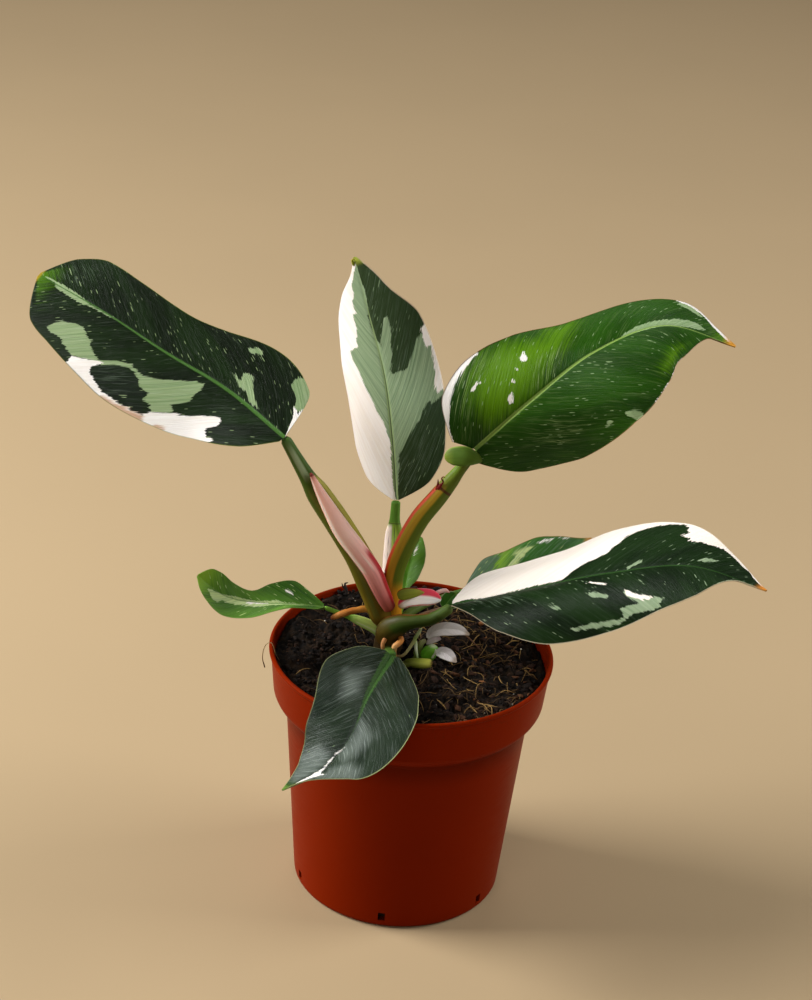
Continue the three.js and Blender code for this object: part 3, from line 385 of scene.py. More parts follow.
# Stalks, sheaths, shoots and roots. Many routes began as points read off the photograph at a
# guessed depth, which a program turned into mm. Few of those points stand unchanged. route:
# points along the middle. across, deep: half sizes of the oval section at each point, across and
# along the way that its groove looks. deep is the same as across where it isn't given, and look
# is FRONT. groove: how deep the groove cuts in, as a share of the section, at each point. slim: a
# factor on the section. rough: how lumpy it is.
# along: (share of the length, colour). bands: stripes along it, each (middle angle from the
# groove, half-width in degrees, share of the length from and to, colour). rings: rings round it,
# each (share of the length, half-width as such a share, colour).
STALKS = {
    "new_leaf": dict(
        slot="blush",
        route=[(-10, 4, 128), (-14.5, 3.5, 137), (-19, 2.5, 147), (-25.5, 1.5, 156.5), (-32, 1, 165.5),
               (-37.5, 1, 174.5), (-42.5, 1.5, 183), (-46.5, 2, 190.5)],
        across=[2.6, 3.7, 4.2, 4.2, 4, 3.1, 2, 0.7], deep=[2.2, 3, 3.3, 3.3, 3, 2.4, 1.6, 0.6],
        look=(0.5, -0.8, 0.3),
        along=[(0, (160, 70, 46)), (0.1, (206, 112, 104)), (0.28, (238, 160, 152)), (0.55, (255, 208, 192)),
               (0.93, (255, 186, 168)), (1, (150, 50, 40))],
        bands=[(66, 14, 0.3, 0.98, (255, 230, 218)), (96, 12, 0.1, 0.5, (86, 60, 28)),
               (-40, 20, 0.02, 0.42, (176, 26, 32)), (-56, 8, 0.4, 0.95, (255, 214, 198)),
               (0, 6, 0.3, 0.9, (255, 214, 200))],
        rings=[(0.985, 0.012, (110, 26, 24))],
    ),
    "lobe_upper_right": dict(
        slot="shoot",
        route=[(8, 19.5, 193.4), (11.5, 18.5, 194.6), (16, 18, 195.2), (20, 18.4, 194.4),
               (23.4, 19.6, 192.8)],
        across=[1.5, 3.8, 4.2, 3, 0.7], deep=[0.7, 1.1, 1.3, 1, 0.5], look=(0, -0.9, 0.4),
        along=[(0, (120, 136, 44)), (0.3, (78, 108, 28)), (1, (90, 120, 34))],
        bands=[(90, 24, 0.1, 0.9, (130, 156, 60))],
    ),
    "stem": dict(
        slot="stem",
        route=[(-9, 10, 76), (-9.5, 9.5, 92), (-10, 9, 104), (-10, 8.5, 114), (-10.5, 8.5, 122)],
        across=[6, 7, 6.4, 5.6, 4], deep=[6, 7, 6.4, 5.6, 3.6],
        along=[(0, (44, 32, 16)), (0.7, (60, 44, 18)), (1, (84, 62, 20))],
    ),
    "petiole_upper_left": dict(
        slot="petiole",
        route=[(-11, 8.5, 118), (-13.6, 8, 126), (-18.5, 7.5, 138), (-25.5, 6.5, 152), (-34.5, 5.5, 167),
               (-42.5, 5, 179), (-48.5, 4.5, 188.5), (-57.8, 4, 204.5)],
        across=[3.6, 6.6, 6.6, 5.8, 5.6, 5.2, 3.4, 2.3], deep=[3.4, 4.8, 4.8, 4.6, 4.4, 3.6, 2.7, 2.1],
        look=(0.5, -0.8, 0.3), groove=[0.1, 0.25, 0.35, 0.4, 0.4, 0.4, 0.2, 0.12],
        along=[(0, (120, 84, 18)), (0.15, (112, 90, 20)), (0.5, (92, 96, 24)), (0.85, (66, 92, 24)),
               (1, (70, 100, 36))],
        bands=[(-90, 60, 0.1, 0.82, (140, 138, 34)), (-52, 13, 0.1, 0.84, (176, 168, 66)),
               (-64, 7, 0, 0.5, (140, 38, 18)), (50, 10, 0.12, 0.8, (104, 104, 40)),
               (20, 26, 0.84, 0.98, (150, 164, 124))],
    ),
    "petiole_centre": dict(
        slot="petiole",
        route=[(-10.5, 12, 112), (-10.5, 18, 130), (-10.5, 24, 141), (-10.8, 29.5, 150), (-11, 32, 157),
               (-11, 34, 164)],
        across=[4.5, 4.6, 4.6, 4, 2.2, 2], deep=[3.6, 3.4, 3.2, 2.8, 2, 1.8], look=(-0.4, -0.9, 0.2),
        groove=[0.1, 0.35, 0.45, 0.4, 0.15, 0.12],
        along=[(0, (150, 140, 60)), (0.4, (144, 166, 56)), (0.7, (126, 154, 44)), (0.76, (84, 128, 34)),
               (1, (90, 136, 42))],
        bands=[(56, 46, 0.2, 0.72, (255, 236, 226)), (74, 5, 0.2, 0.72, (150, 50, 50)),
               (32, 4, 0.2, 0.74, (70, 60, 20)), (-20, 6, 0.3, 0.72, (60, 84, 24))],
        rings=[(0.735, 0.008, (70, 70, 30))],
    ),
    "petiole_upper_right": dict(
        slot="petiole",
        route=[(-8.5, 10, 112), (-10, 10.5, 126), (-10, 12.5, 140), (-7.5, 14, 151), (-1.5, 17, 164.5),
               (5.5, 19, 174.5), (11, 20.5, 182), (15, 21.5, 188), (19.8, 22, 195.8)],
        across=[4.4, 4.4, 4.2, 4.2, 4.2, 3.8, 3.2, 2.5, 2.4],
        deep=[4.6, 4.6, 4.6, 4.8, 4.7, 4.4, 3.5, 2.6, 2.5], look=(-0.85, 0.22, 0.4),
        groove=[0.1, 0.15, 0.22, 0.24, 0.24, 0.22, 0.15, 0.1, 0.1],
        along=[(0, (214, 132, 26)), (0.22, (190, 138, 24)), (0.45, (158, 140, 26)), (0.68, (122, 128, 28)),
               (0.85, (104, 134, 30)), (1, (136, 166, 60))],
        bands=[(-150, 60, 0.2, 1, (92, 108, 24)), (-84, 16, 0.05, 0.72, (178, 140, 30)),
               (-44, 15, 0.02, 0.7, (206, 62, 18)), (-30, 6, 0.3, 0.69, (130, 20, 12))],
        rings=[(0.69, 0.012, (80, 26, 14))],
    ),
    "petiole_right": dict(
        slot="petiole",
        route=[(-10, 6.5, 112), (-9.2, 3.6, 119.4), (-4.6, 0.6, 124.4), (0.6, -1.6, 126.8),
               (8, -2.4, 129.2), (15, -2.2, 134.8)],
        across=[5.6, 6, 5, 3.6, 3, 2.4], deep=[5.2, 5.4, 4.6, 3.2, 2.8, 2.2], look=(-0.3, 0.5, 0.8),
        groove=[0, 0.1, 0.3, 0.2, 0.12, 0.12],
        along=[(0, (84, 56, 16)), (0.35, (70, 68, 18)), (0.65, (66, 84, 22)), (1, (92, 118, 52))],
        bands=[(-28, 14, 0.2, 0.8, (120, 64, 24)), (30, 20, 0.4, 0.95, (92, 110, 34)),
               (-130, 40, 0.3, 0.9, (56, 74, 18))],
    ),
    "petiole_front": dict(
        slot="petiole", route=[(-10, 6, 107), (-9.5, -1, 111), (-8.6, -10.4, 114.5)], across=[3, 2.4, 2.6],
        deep=[2.6, 2.1, 1.6], look=(0, -0.4, 0.9), groove=[0, 0.12, 0.15],
        along=[(0, (84, 70, 32)), (1, (74, 112, 42))],
    ),
    "petiole_left": dict(
        slot="petiole",
        route=[(-12, 9, 112.5), (-15.5, 8, 116), (-20, 7, 118.8), (-24.5, 6.5, 120.8), (-28.5, 6, 122.4),
               (-37.7, 4, 126.8)],
        across=[3, 2.8, 2.5, 2, 1.1, 1], deep=[2.4, 2.2, 2, 1.6, 1, 0.9], look=(0.3, -0.4, 0.8),
        groove=[0, 0.15, 0.25, 0.25, 0.1, 0],
        along=[(0, (190, 224, 110)), (0.3, (220, 246, 136)), (0.55, (208, 240, 126)),
               (0.75, (128, 180, 64)), (1, (122, 170, 60))],
        bands=[(60, 8, 0, 0.6, (236, 250, 180)), (-60, 8, 0, 0.6, (236, 250, 180))],
    ),
    "petiole_back_right": dict(
        slot="petiole",
        route=[(-7.5, 12, 114), (-2, 18, 119), (7, 25.5, 121), (15, 31, 121.8), (21, 33.8, 122.8)],
        across=[2.6, 2, 1.6, 1.5, 1.4], deep=[2.4, 1.9, 1.5, 1.4, 1.3], look=(-0.2, -0.2, 0.9),
        groove=[0, 0.1, 0.15, 0.12, 0.1], along=[(0, (96, 110, 44)), (1, (70, 108, 36))],
    ),
    "petiole_back_small": dict(
        slot="petiole", route=[(-8.5, 13, 114), (-6.5, 18, 120.5), (-4.6, 22.7, 126.2)],
        across=[2.2, 1.8, 1.4], deep=[2, 1.6, 1.3], look=(0, -0.8, 0.6), groove=[0, 0.1, 0.1],
        along=[(0, (112, 140, 36)), (1, (124, 172, 40))],
    ),
    "petiole_base_right": dict(
        slot="petiole", route=[(-5.5, 8.5, 116), (1, 7.5, 122), (8, 6, 127), (12.2, 5, 129.6)],
        across=[2.4, 1.9, 1.5, 1.1], deep=[2.2, 1.7, 1.4, 1], look=(-0.2, -0.3, 0.9),
        groove=[0, 0.1, 0.1, 0.1],
        along=[(0, (120, 120, 40)), (0.6, (196, 150, 130)), (1, (206, 170, 150))],
    ),
    "sheath_right": dict(
        slot="blush",
        route=[(-6.5, 4, 130), (-3, 3.2, 133.6), (1, 2.4, 135.8), (5.5, 1.6, 136.6), (8.5, 1, 136.6),
               (10.8, 0.8, 136.2)],
        across=[1.6, 3, 3.8, 3.6, 2.6, 0.7], deep=[1, 1.5, 1.7, 1.5, 1.1, 0.5], look=(-0.2, -0.8, 0.6),
        groove=[0, 0.2, 0.3, 0.3, 0.2, 0],
        along=[(0, (190, 164, 104)), (0.12, (252, 240, 228)), (1, (255, 250, 244))],
        bands=[(84, 76, 0, 1, (224, 66, 84)), (96, 24, 0.3, 0.8, (240, 128, 134)),
               (-70, 6, 0.1, 1, (226, 120, 118))],
    ),
    "root_left": dict(
        slot="root",
        route=[(-13, 8.5, 121), (-16.5, 7, 125), (-21, 5.5, 126.6), (-26, 4.5, 125.8), (-30.5, 3.5, 124.4),
               (-34.8, 3, 122.4)],
        across=[1.5, 1.5, 1.4, 1.4, 1.4, 0.9], rough=0.35,
        along=[(0, (200, 128, 40)), (0.3, (210, 150, 60)), (0.6, (184, 110, 40)), (0.9, (196, 130, 60)),
               (1, (150, 76, 36))],
    ),
    "root_front": dict(
        slot="root",
        route=[(-5, 0.5, 117.2), (-4.6, -1, 116.4), (-5.8, -2.2, 115.4), (-7.2, -2.8, 114),
               (-7.2, -2.6, 110.8), (-6, -1.8, 107.6)],
        across=[1.2, 1.2, 1.3, 1.2, 1, 0.6], deep=[1.2, 1.2, 1.2, 1.1, 1, 0.6], rough=0.15,
        along=[(0, (170, 96, 40)), (0.3, (240, 160, 80)), (0.6, (232, 176, 112)), (1, (130, 76, 40))],
    ),
    "root_side": dict(
        slot="root",
        route=[(-10.6, 0.6, 117.4), (-11.6, -0.8, 116), (-12.2, -1.2, 114), (-11.8, -1.2, 111.6),
               (-11, -1, 109), (-10.8, -1, 105.6)],
        across=[1, 1, 0.9, 0.9, 0.8, 0.6], rough=0.15,
        along=[(0, (170, 104, 52)), (0.4, (220, 156, 100)), (1, (120, 72, 40))],
    ),
    "pup_shoot": dict(
        slot="shoot",
        route=[(2, 4.5, 92), (2.6, 4, 104), (3, 4.2, 109.6), (4, 4.7, 112.4), (5.9, 5.2, 113.7)],
        across=[2.2, 2.2, 1.8, 1.3, 0.9], deep=[2.2, 2.2, 1.7, 1.2, 0.8],
        along=[(0, (80, 100, 40)), (0.6, (112, 128, 56)), (1, (170, 166, 120))],
    ),
    "pup_bud": dict(
        slot="shoot",
        route=[(5.5, 4.5, 96), (6, 4, 104), (7.4, 3, 108.5), (8.6, 2.6, 111), (9, 2.6, 113.2)],
        across=[2, 2.6, 3.4, 3, 1.2], deep=[2, 2.4, 3, 2.6, 1.1], look=(0.4, -0.8, 0.3),
        groove=[0, 0, 0.12, 0.15, 0],
        along=[(0, (70, 120, 30)), (0.6, (96, 164, 36)), (0.9, (120, 182, 60)), (1, (200, 214, 170))],
        bands=[(-20, 8, 0.5, 0.9, (226, 236, 200))],
    ),
    "pup_stub": dict(
        slot="shoot", route=[(-3, -0.2, 104.4), (0.5, -1.2, 106), (4.5, -1.8, 106.4), (9, -2.4, 107)],
        across=[1.6, 2.2, 2.4, 2.1], deep=[1.4, 1.8, 2, 1.8], look=(0, -0.3, 1),
        along=[(0, (84, 92, 34)), (0.6, (134, 142, 46)), (0.96, (186, 186, 76)), (1, (150, 130, 60))],
    ),
    "dry_stalk": dict(
        slot="bark",
        route=[(5.5, 8.5, 100), (5.8, 8.4, 110), (7.5, 9.5, 117), (12, 10.8, 118.4), (18.5, 11, 116.8),
               (24.5, 9, 113.6), (29.5, 6, 110)],
        across=[0.6, 0.6, 0.6, 0.5, 0.5, 0.5, 0.4], slim=0.6,
        along=[(0, (30, 20, 14)), (0.4, (44, 30, 20)), (0.6, (150, 104, 70)), (1, (70, 48, 34))],
    ),
    "bark_piece": dict(
        slot="bark",
        route=[(-30, 26, 103), (-27.5, 26.5, 104.2), (-24, 27, 104.6), (-20.5, 27.4, 104),
               (-18.6, 27.6, 103)],
        across=[1.5, 3.2, 3.8, 3, 1.2], deep=[1, 2, 2.4, 1.9, 0.8], look=(0, -0.3, 1), rough=0.8,
        along=[(0, (60, 34, 24)), (0.3, (104, 60, 44)), (0.6, (84, 60, 36)), (1, (50, 30, 22))],
    ),
}

# Small things that only the looks show, given like the stalks.
EXTRAS = {
    "sheath_tail_long": dict(
        slot="petiole",
        route=[(6.1, 17, 179.7), (7.2, 17, 181.7), (8, 17, 183.1), (7.3, 17, 184.7), (8, 17, 185.5),
               (8.9, 17, 185.1)],
        across=[1, 0.6, 0.35, 0.3, 0.25, 0.1], deep=[0.8, 0.5, 0.3, 0.25, 0.25, 0.1], look=(0, -1, 0.2),
        along=[(0, (120, 16, 10)), (0.5, (96, 20, 12)), (1, (150, 120, 50))],
    ),
    "sheath_tail_short": dict(
        slot="petiole", route=[(5.7, 17.6, 178.8), (6, 17.5, 181.8), (5.8, 17.5, 184.1)],
        across=[0.9, 0.5, 0.1], deep=[0.7, 0.4, 0.1], look=(0, -1, 0.2),
        along=[(0, (130, 30, 14)), (1, (60, 14, 10))],
    ),
    "sheath_stub": dict(
        slot="blush", route=[(-7.4, 2.7, 135.4), (-4.2, 2.5, 136.9), (-0.4, 2.2, 138), (3.6, 2, 138.4)],
        across=[1.6, 2.5, 2, 0.4], deep=[0.4, 0.6, 0.5, 0.2], look=(-0.1, -0.9, 0.3),
        along=[(0, (120, 130, 36)), (0.7, (150, 160, 52)), (1, (170, 160, 70))],
        bands=[(90, 26, 0, 1, (130, 30, 20))],
    ),
    "bud_scale": dict(
        slot="blush", route=[(7.6, 4.2, 134.8), (9.2, 3.9, 137.8), (12, 3.6, 139.3), (14.2, 3.4, 138.6)],
        across=[0.4, 0.9, 0.9, 0.2], deep=[0.3, 0.4, 0.4, 0.2], look=(0, -1, 0.2),
        along=[(0, (190, 140, 130)), (0.5, (250, 214, 206)), (1, (226, 160, 150))],
    ),
    "pup_leaf_short": dict(
        slot="pup_leaf", route=[(6.2, 5.6, 111.6), (8.2, 5.4, 113.8), (10.4, 5, 115), (12.2, 4.6, 115)],
        across=[0.5, 1.5, 1.4, 0.2], deep=[0.3, 0.4, 0.4, 0.2], look=(0, -0.7, 0.7),
        along=[(0, (190, 176, 170)), (0.6, (236, 220, 216)), (1, (196, 170, 164))],
    ),
    "pup_strand_left": dict(
        slot="shoot",
        route=[(-6.8, -1.6, 109), (-3.2, -1.4, 109.6), (0.3, -0.2, 115), (1.5, 1, 117.4),
               (3.6, 2.5, 121.1)],
        across=[0.5, 0.6, 0.7, 0.8, 0.5], deep=[0.4, 0.5, 0.6, 0.6, 0.4], look=(0, -1, 0.3),
        along=[(0, (150, 110, 60)), (0.4, (196, 190, 130)), (0.7, (130, 150, 70)), (1, (190, 200, 150))],
    ),
    "pup_strand_right": dict(
        slot="shoot", route=[(1, 1.6, 117), (1.6, 1, 114), (2, 0.4, 111.4), (3, -0.4, 107.4)],
        across=[0.4, 0.7, 0.6, 0.4], deep=[0.3, 0.5, 0.5, 0.3], look=(0, -1, 0.3),
        along=[(0, (150, 180, 90)), (0.6, (236, 246, 214)), (1, (150, 190, 90))],
    ),
    "tip_hook": dict(
        slot="leaf",
        route=[(-35.2, 60.1, 259), (-36, 59.9, 260.6), (-36.2, 59.6, 261.8), (-35.3, 59.4, 262.3)],
        across=[0.7, 0.5, 0.35, 0.15], deep=[0.5, 0.4, 0.3, 0.15],
        along=[(0, (120, 140, 40)), (0.6, (176, 176, 50)), (1, (120, 80, 30))],
    ),
    "rim_fibre": dict(
        slot="bark",
        route=[(-60.9, -9.6, 103.6), (-62, -11, 109.5), (-61, -11.4, 115.4), (-58.4, -11, 116.4),
               (-56.4, -9.4, 110), (-54, -8, 105)],
        across=[0.3, 0.2, 0.2, 0.15, 0.15, 0.1], deep=[0.2, 0.15, 0.15, 0.15, 0.15, 0.1],
        along=[(0, (60, 40, 24)), (0.5, (196, 170, 130)), (1, (40, 26, 18))],
    ),
    "rim_twig": dict(
        slot="bark",
        route=[(-29.4, 46.4, 108), (-30.2, 47.6, 112), (-30.8, 48.4, 114), (-29.4, 48.8, 114.6)],
        across=[1, 0.7, 0.45, 0.15], rough=0.3, along=[(0, (20, 13, 9)), (1, (34, 22, 15))],
    ),
    "rim_twig_side": dict(
        slot="bark", route=[(-30.2, 47.8, 111.6), (-31.6, 48.2, 112.8), (-32.2, 48.8, 114.2)],
        across=[0.6, 0.4, 0.12], rough=0.2, along=[(0, (20, 13, 9)), (1, (34, 22, 15))],
    ),
}

POT = dict(height=112, rim=60, collar_foot=85, collar_rise=8, collar=57.4, body=51.6, base=44.5,
           wall=1.2, floor=3.4, pad=14, recess=2)
DRAIN = dict(count=6, first=204, width=3, height=4.2, sill=3.6, reach=8)
FLOOR_HOLE = dict(count=4, first=45, radius=3, pitch=27, sides=40, deep=10)
SOIL = dict(level=102, gap=0.4, heaped=6)  # heaped: how much higher it lies at the back
MOUND = dict(height=2, x=-8, y=8, spread=20)  # round the stem
BANK = 3.4  # height of the soil that leans on the left wall of the pot
BACK_RIM = dict(turns=(78, 135), radii=(52, 57.2), heights=(107.5, 111.2))  # where crumbs cling

# Loose bits: tones from dark to light, each at a share of the bits, and the roughness.
TONES = {
    "peat_crumb": ([(0, (9, 6, 5)), (0.6, (26, 17, 11)), (0.93, (48, 30, 19)), (1, (92, 60, 36))], 0.9),
    "bark_chip": ([(0, (26, 16, 10)), (0.6, (62, 38, 23)), (0.9, (98, 62, 36)), (1, (148, 96, 54))], 0.85),
    "fibre": ([(0, (50, 34, 18)), (0.6, (104, 78, 40)), (1, (170, 136, 78))], 0.8),
    "pale_grain": ([(0, (150, 140, 120)), (1, (226, 220, 206))], 0.8),
}
FIBRE_POINTS = 9


# Numbers and curves


def smooth(at, values, x):
    """Monotone cubic through the values, one at each knot of at, so that it never overshoots."""
    at, values = np.asarray(at, float), np.asarray(values, float)
    step = np.diff(at)
    slope = np.diff(values) / step
    tangent = np.zeros(len(at))
    before, after = 2 * step[1:] + step[:-1], step[1:] + 2 * step[:-1]
    same = slope[:-1] * slope[1:] > 0
    low, high = np.where(same, slope[:-1], 1), np.where(same, slope[1:], 1)
    tangent[1:-1] = np.where(same, (before + after) / (before / low + after / high), 0)
    tangent[0] = end_tangent(step[0], step[1], slope[0], slope[1])
    tangent[-1] = end_tangent(step[-1], step[-2], slope[-1], slope[-2])
    i = np.clip(np.searchsorted(at, x, side="right") - 1, 0, len(step) - 1)
    t = np.clip((x - at[i]) / step[i], 0, 1)
    ends = (2 * t**3 - 3 * t**2 + 1) * values[i] + (3 * t**2 - 2 * t**3) * values[i + 1]
    bends = (t**3 - 2 * t**2 + t) * tangent[i] + (t**3 - t**2) * tangent[i + 1]
    return ends + bends * step[i]


def end_tangent(step, next_step, slope, next_slope):
    tangent = ((2 * step + next_step) * slope - step * next_slope) / (step + next_step)
    if tangent * slope <= 0:
        return 0
    if slope * next_slope < 0 and abs(tangent) > 3 * abs(slope):
        return 3 * slope
    return tangent


def evenly(values):
    return np.linspace(0, 1, len(values))


def unit(vectors):
    return vectors / np.maximum(np.linalg.norm(vectors, axis=-1, keepdims=True), 1e-12)


def spline(points, x):
    """Catmull-Rom curve through the points, at x from 0 to 1, that runs on straight past both ends."""
    points = np.asarray(points, float)
    spans = len(points) - 1
    knots = np.vstack([2 * points[0] - points[1], points, 2 * points[-1] - points[-2]])
    place = np.clip(x, 0, 1) * spans
    i = np.minimum(place.astype(int), spans - 1)
    t = (place - i)[..., None]
    a, b, c, d = knots[i], knots[i + 1], knots[i + 2], knots[i + 3]
    curve = 2 * b + (c - a) * t + (2 * a - 5 * b + 4 * c - d) * t**2 + (3 * b - a - 3 * c + d) * t**3
    before = np.minimum(x, 0)[..., None] * spans * (points[1] - points[0])
    after = np.maximum(x - 1, 0)[..., None] * spans * (points[-1] - points[-2])
    return curve / 2 + before + after


def spline_way(points, x, step=0.001):
    return unit(spline(points, x + step) - spline(points, x - step))


def spline_length(points):
    line = spline(points, np.linspace(0, 1, 100))
    return np.linalg.norm(np.diff(line, axis=0), axis=-1).sum()


def cell_value(cells, seed):
    """A repeatable number from 0 to 1 for each cell of a lattice."""
    mixed = cells @ np.array([127.1, 311.7, 74.7]) + 19.19 * seed
    return np.sin(mixed) * 43758.5453 % 1


def wander(points, size, seed=0, octaves=3):
    """Smooth random height from about -1 to 1 over 3-D points, with features of that size."""
    total = np.zeros(points.shape[:-1])
    for octave in range(octaves):
        place = points * 2**octave / size
        cell = np.floor(place)
        t = place - cell
        t = t * t * (3 - 2 * t)
        for corner in np.ndindex(2, 2, 2):
            share = np.prod(np.where(corner, t, 1 - t), axis=-1)
            total += share * (2 * cell_value(cell + corner, seed + octave) - 1) / 2**octave
    return total


def segment_distance(points, a, b):
    """Distance from each 2-D point to the segment a to b, and the share of it that is nearest."""
    way = b - a
    share = np.clip(((points - a) @ way) / max(way @ way, 1e-9), 0, 1)
    return np.linalg.norm(points - a - share[..., None] * way, axis=-1), share


def inside_outline(points, outline):
    """How far 2-D points lie inside a closed outline: positive inside, negative outside."""
    nearest = np.full(points.shape[:-1], np.inf)
    crossings = np.zeros(points.shape[:-1], int)
    for a, b in zip(outline, np.roll(outline, -1, axis=0)):
        nearest = np.minimum(nearest, segment_distance(points, a, b)[0])
        spans = (a[1] > points[..., 1]) != (b[1] > points[..., 1])
        rise = b[1] - a[1] if b[1] != a[1] else 1
        crossings += spans & (points[..., 0] < a[0] + (points[..., 1] - a[1]) / rise * (b[0] - a[0]))
    return np.where(crossings % 2, nearest, -nearest)


def inside_streak(points, line, start_width, end_width):
    """How far 2-D points lie inside a streak that follows a line."""
    best = np.full(points.shape[:-1], -99.0)
    widths = np.linspace(start_width, end_width, len(line))
    for a, b, width, next_width in zip(line, line[1:], widths, widths[1:]):
        distance, share = segment_distance(points, a, b)
        best = np.maximum(best, width + (next_width - width) * share - distance)
    return best


# Meshes


def welded(points, faces, marks):
    """Merges points that fall together, and drops the faces that this flattens."""
    _, first, place = np.unique(np.round(points, 3), axis=0, return_index=True, return_inverse=True)
    corners = [list(dict.fromkeys(face)) for face in place.reshape(-1)[faces].tolist()]
    kept = [face for face in corners if len(face) > 2]
    return points[first], kept, {name: values[first] for name, values in marks.items()}


def add_marks(mesh, marks):
    """Stores named values on the mesh's points, for its material to read."""
    for name, values in marks.items():
        kind, field = ("FLOAT_VECTOR", "vector") if values.ndim == 2 else ("FLOAT", "value")
        attribute = mesh.attributes.new(name, kind, "POINT")
        attribute.data.foreach_set(field, values.astype(np.float32).ravel())


def add_object(name, data):
    thing = bpy.data.objects.new(name, data)
    bpy.context.scene.collection.objects.link(thing)
    return thing


def add_piece(name, points, faces, material, marks=None, nodes=()):
    """One object from points in mm. It rides on the plant and stands for the CAD nodes named."""
    mesh = bpy.data.meshes.new(name)
    mesh.from_pydata((points * MM).tolist(), [], faces)
    add_marks(mesh, marks or {})
    mesh.materials.append(material)
    mesh.shade_smooth()
    mesh.update()
    piece = add_object(name, mesh)
    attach(piece, "root")
    if nodes:
        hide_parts(*nodes)
    return piece


def grid_faces(rows, columns, offset=0, flip=False):
    """Quads between neighbouring rows and columns of a grid of points."""
    index = np.arange(rows * columns).reshape(rows, columns) + offset
    corners = [index[:-1, :-1], index[:-1, 1:], index[1:, 1:], index[1:, :-1]]
    return np.stack(corners[::-1] if flip else corners, -1).reshape(-1, 4)


def rim_faces(rows, columns):
    """Quads that join the edges of two grids, the second stored after the first."""
    index = np.arange(rows * columns).reshape(rows, columns)
    ring = np.concatenate([index[0, :-1], index[:-1, -1], index[-1, :0:-1], index[:0:-1, 0]])
    after = np.roll(ring, -1)
    second = rows * columns
    return np.stack([after, ring, ring + second, after + second], -1)


def ring_faces(rings, sides):
    """Quads between closed rings of points."""
    index = np.arange(rings * sides).reshape(rings, sides)
    after = np.roll(index, -1, axis=1)
    return np.stack([index[:-1], after[:-1], after[1:], index[1:]], -1).reshape(-1, 4)


# Materials


def colour(rgb):
    """(red, green, blue) out of 255, as seen, to Blender's linear colour."""
    share = np.array(rgb) / 255
    linear = np.where(share <= 0.04045, share / 12.92, ((share + 0.055) / 1.055) ** 2.4)
    return (*linear.tolist(), 1)


class Nodes:
    """Short calls that build one material's node tree."""

    def __init__(self, name):
        self.material = bpy.data.materials.new(name)
        self.material.use_nodes = True
        self.tree = self.material.node_tree
        self.shader = self.tree.nodes["Principled BSDF"]

    def give(self, socket, value):
        if isinstance(value, bpy.types.NodeSocket):
            self.tree.links.new(value, socket)
        elif isinstance(value, tuple) and socket.type == "RGBA" and len(value) == 3:
            socket.default_value = colour(value)
        else:
            socket.default_value = value

    def node(self, kind, values=(), **settings):
        """A node with its first inputs given in order."""
        node = self.tree.nodes.new("ShaderNode" + kind)
        for name, value in settings.items():
            setattr(node, name, value)
        for socket, value in zip(node.inputs, values):
            self.give(socket, value)
        return node

    def math(self, operation, *values):
        return self.node("Math", values, operation=operation).outputs[0]

    def mark(self, name, output="Fac"):
        """A named value of the mesh."""
        return self.node("Attribute", attribute_name=name).outputs[output]

    def object_place(self):
        return self.node("TexCoord").outputs["Object"]

    def scaled(self, vector, scale):
        return self.node("VectorMath", (vector, scale), operation="MULTIPLY").outputs[0]

    def part(self, vector, axis):
        return self.node("SeparateXYZ", (vector,)).outputs[axis]

    def noise(self, vector, scale, detail=2.0, roughness=0.5):
        """Soft noise. scale: features in each unit of length, or such a number for each axis."""
        scale = scale if isinstance(scale, tuple) else (scale, scale, scale)
        node = self.node("TexNoise", (self.scaled(vector, scale),))
        for name, value in (("Scale", 1), ("Detail", detail), ("Roughness", roughness)):
            node.inputs[name].default_value = value
        return node.outputs["Fac"]

    def cells(self, vector, scale):
        """Distance to the nearest cell's middle, and a random number for that cell."""
        node = self.node("TexVoronoi", (self.scaled(vector, scale),))
        node.inputs["Scale"].default_value = 1
        return node.outputs["Distance"], self.part(node.outputs["Color"], 0)

    def step(self, value, low, high, top=1.0):
        """0 below low, top above high, and smooth between them. low may be the higher one."""
        ends = (value, low, high, 0, top) if low < high else (value, high, low, top, 0)
        return self.node("MapRange", ends, interpolation_type="SMOOTHSTEP").outputs[0]

    def mix(self, share, first, second):
        node = self.node("Mix", data_type="RGBA")
        for place, value in ((0, share), (6, first), (7, second)):
            self.give(node.inputs[place], value)
        return node.outputs[2]

    def tint(self, base, tone, value, low, high, top=1.0):
        """The base, turned to the tone where the value steps from low to high."""
        return self.mix(self.step(value, low, high, top), base, tone)

    def ramp(self, value, stops):
        node = self.node("ValToRGB", (value,))
        elements = node.color_ramp.elements
        while len(elements) < len(stops):
            elements.new(0.5)
        for element, (place, _) in zip(elements, stops):
            element.position = place
        for element, (_, rgb) in zip(elements, stops):
            element.color = colour(rgb)
        return node.outputs[0]

    def bump(self, height, depth):
        """Surface relief from a height of 0 to 1. depth is in mm."""
        node = self.node("Bump")
        node.inputs["Distance"].default_value = depth * MM
        node.inputs["Strength"].default_value = 1
        self.give(node.inputs["Height"], height)
        self.tree.links.new(node.outputs[0], self.shader.inputs["Normal"])

    def finish(self, base, roughness, specular=0.5, scatter=None, tint=(255, 255, 255)):
        """The finished material. scatter: share of light that goes under the skin, and how far."""
        inputs = self.shader.inputs
        self.give(inputs["Base Color"], base)
        self.give(inputs["Roughness"], roughness)
        inputs["Specular IOR Level"].default_value = specular
        inputs["Specular Tint"].default_value = colour(tint)
        if scatter:
            inputs["Subsurface Weight"].default_value, inputs["Subsurface Radius"].default_value = scatter
            inputs["Subsurface Scale"].default_value = 1
        return self.material


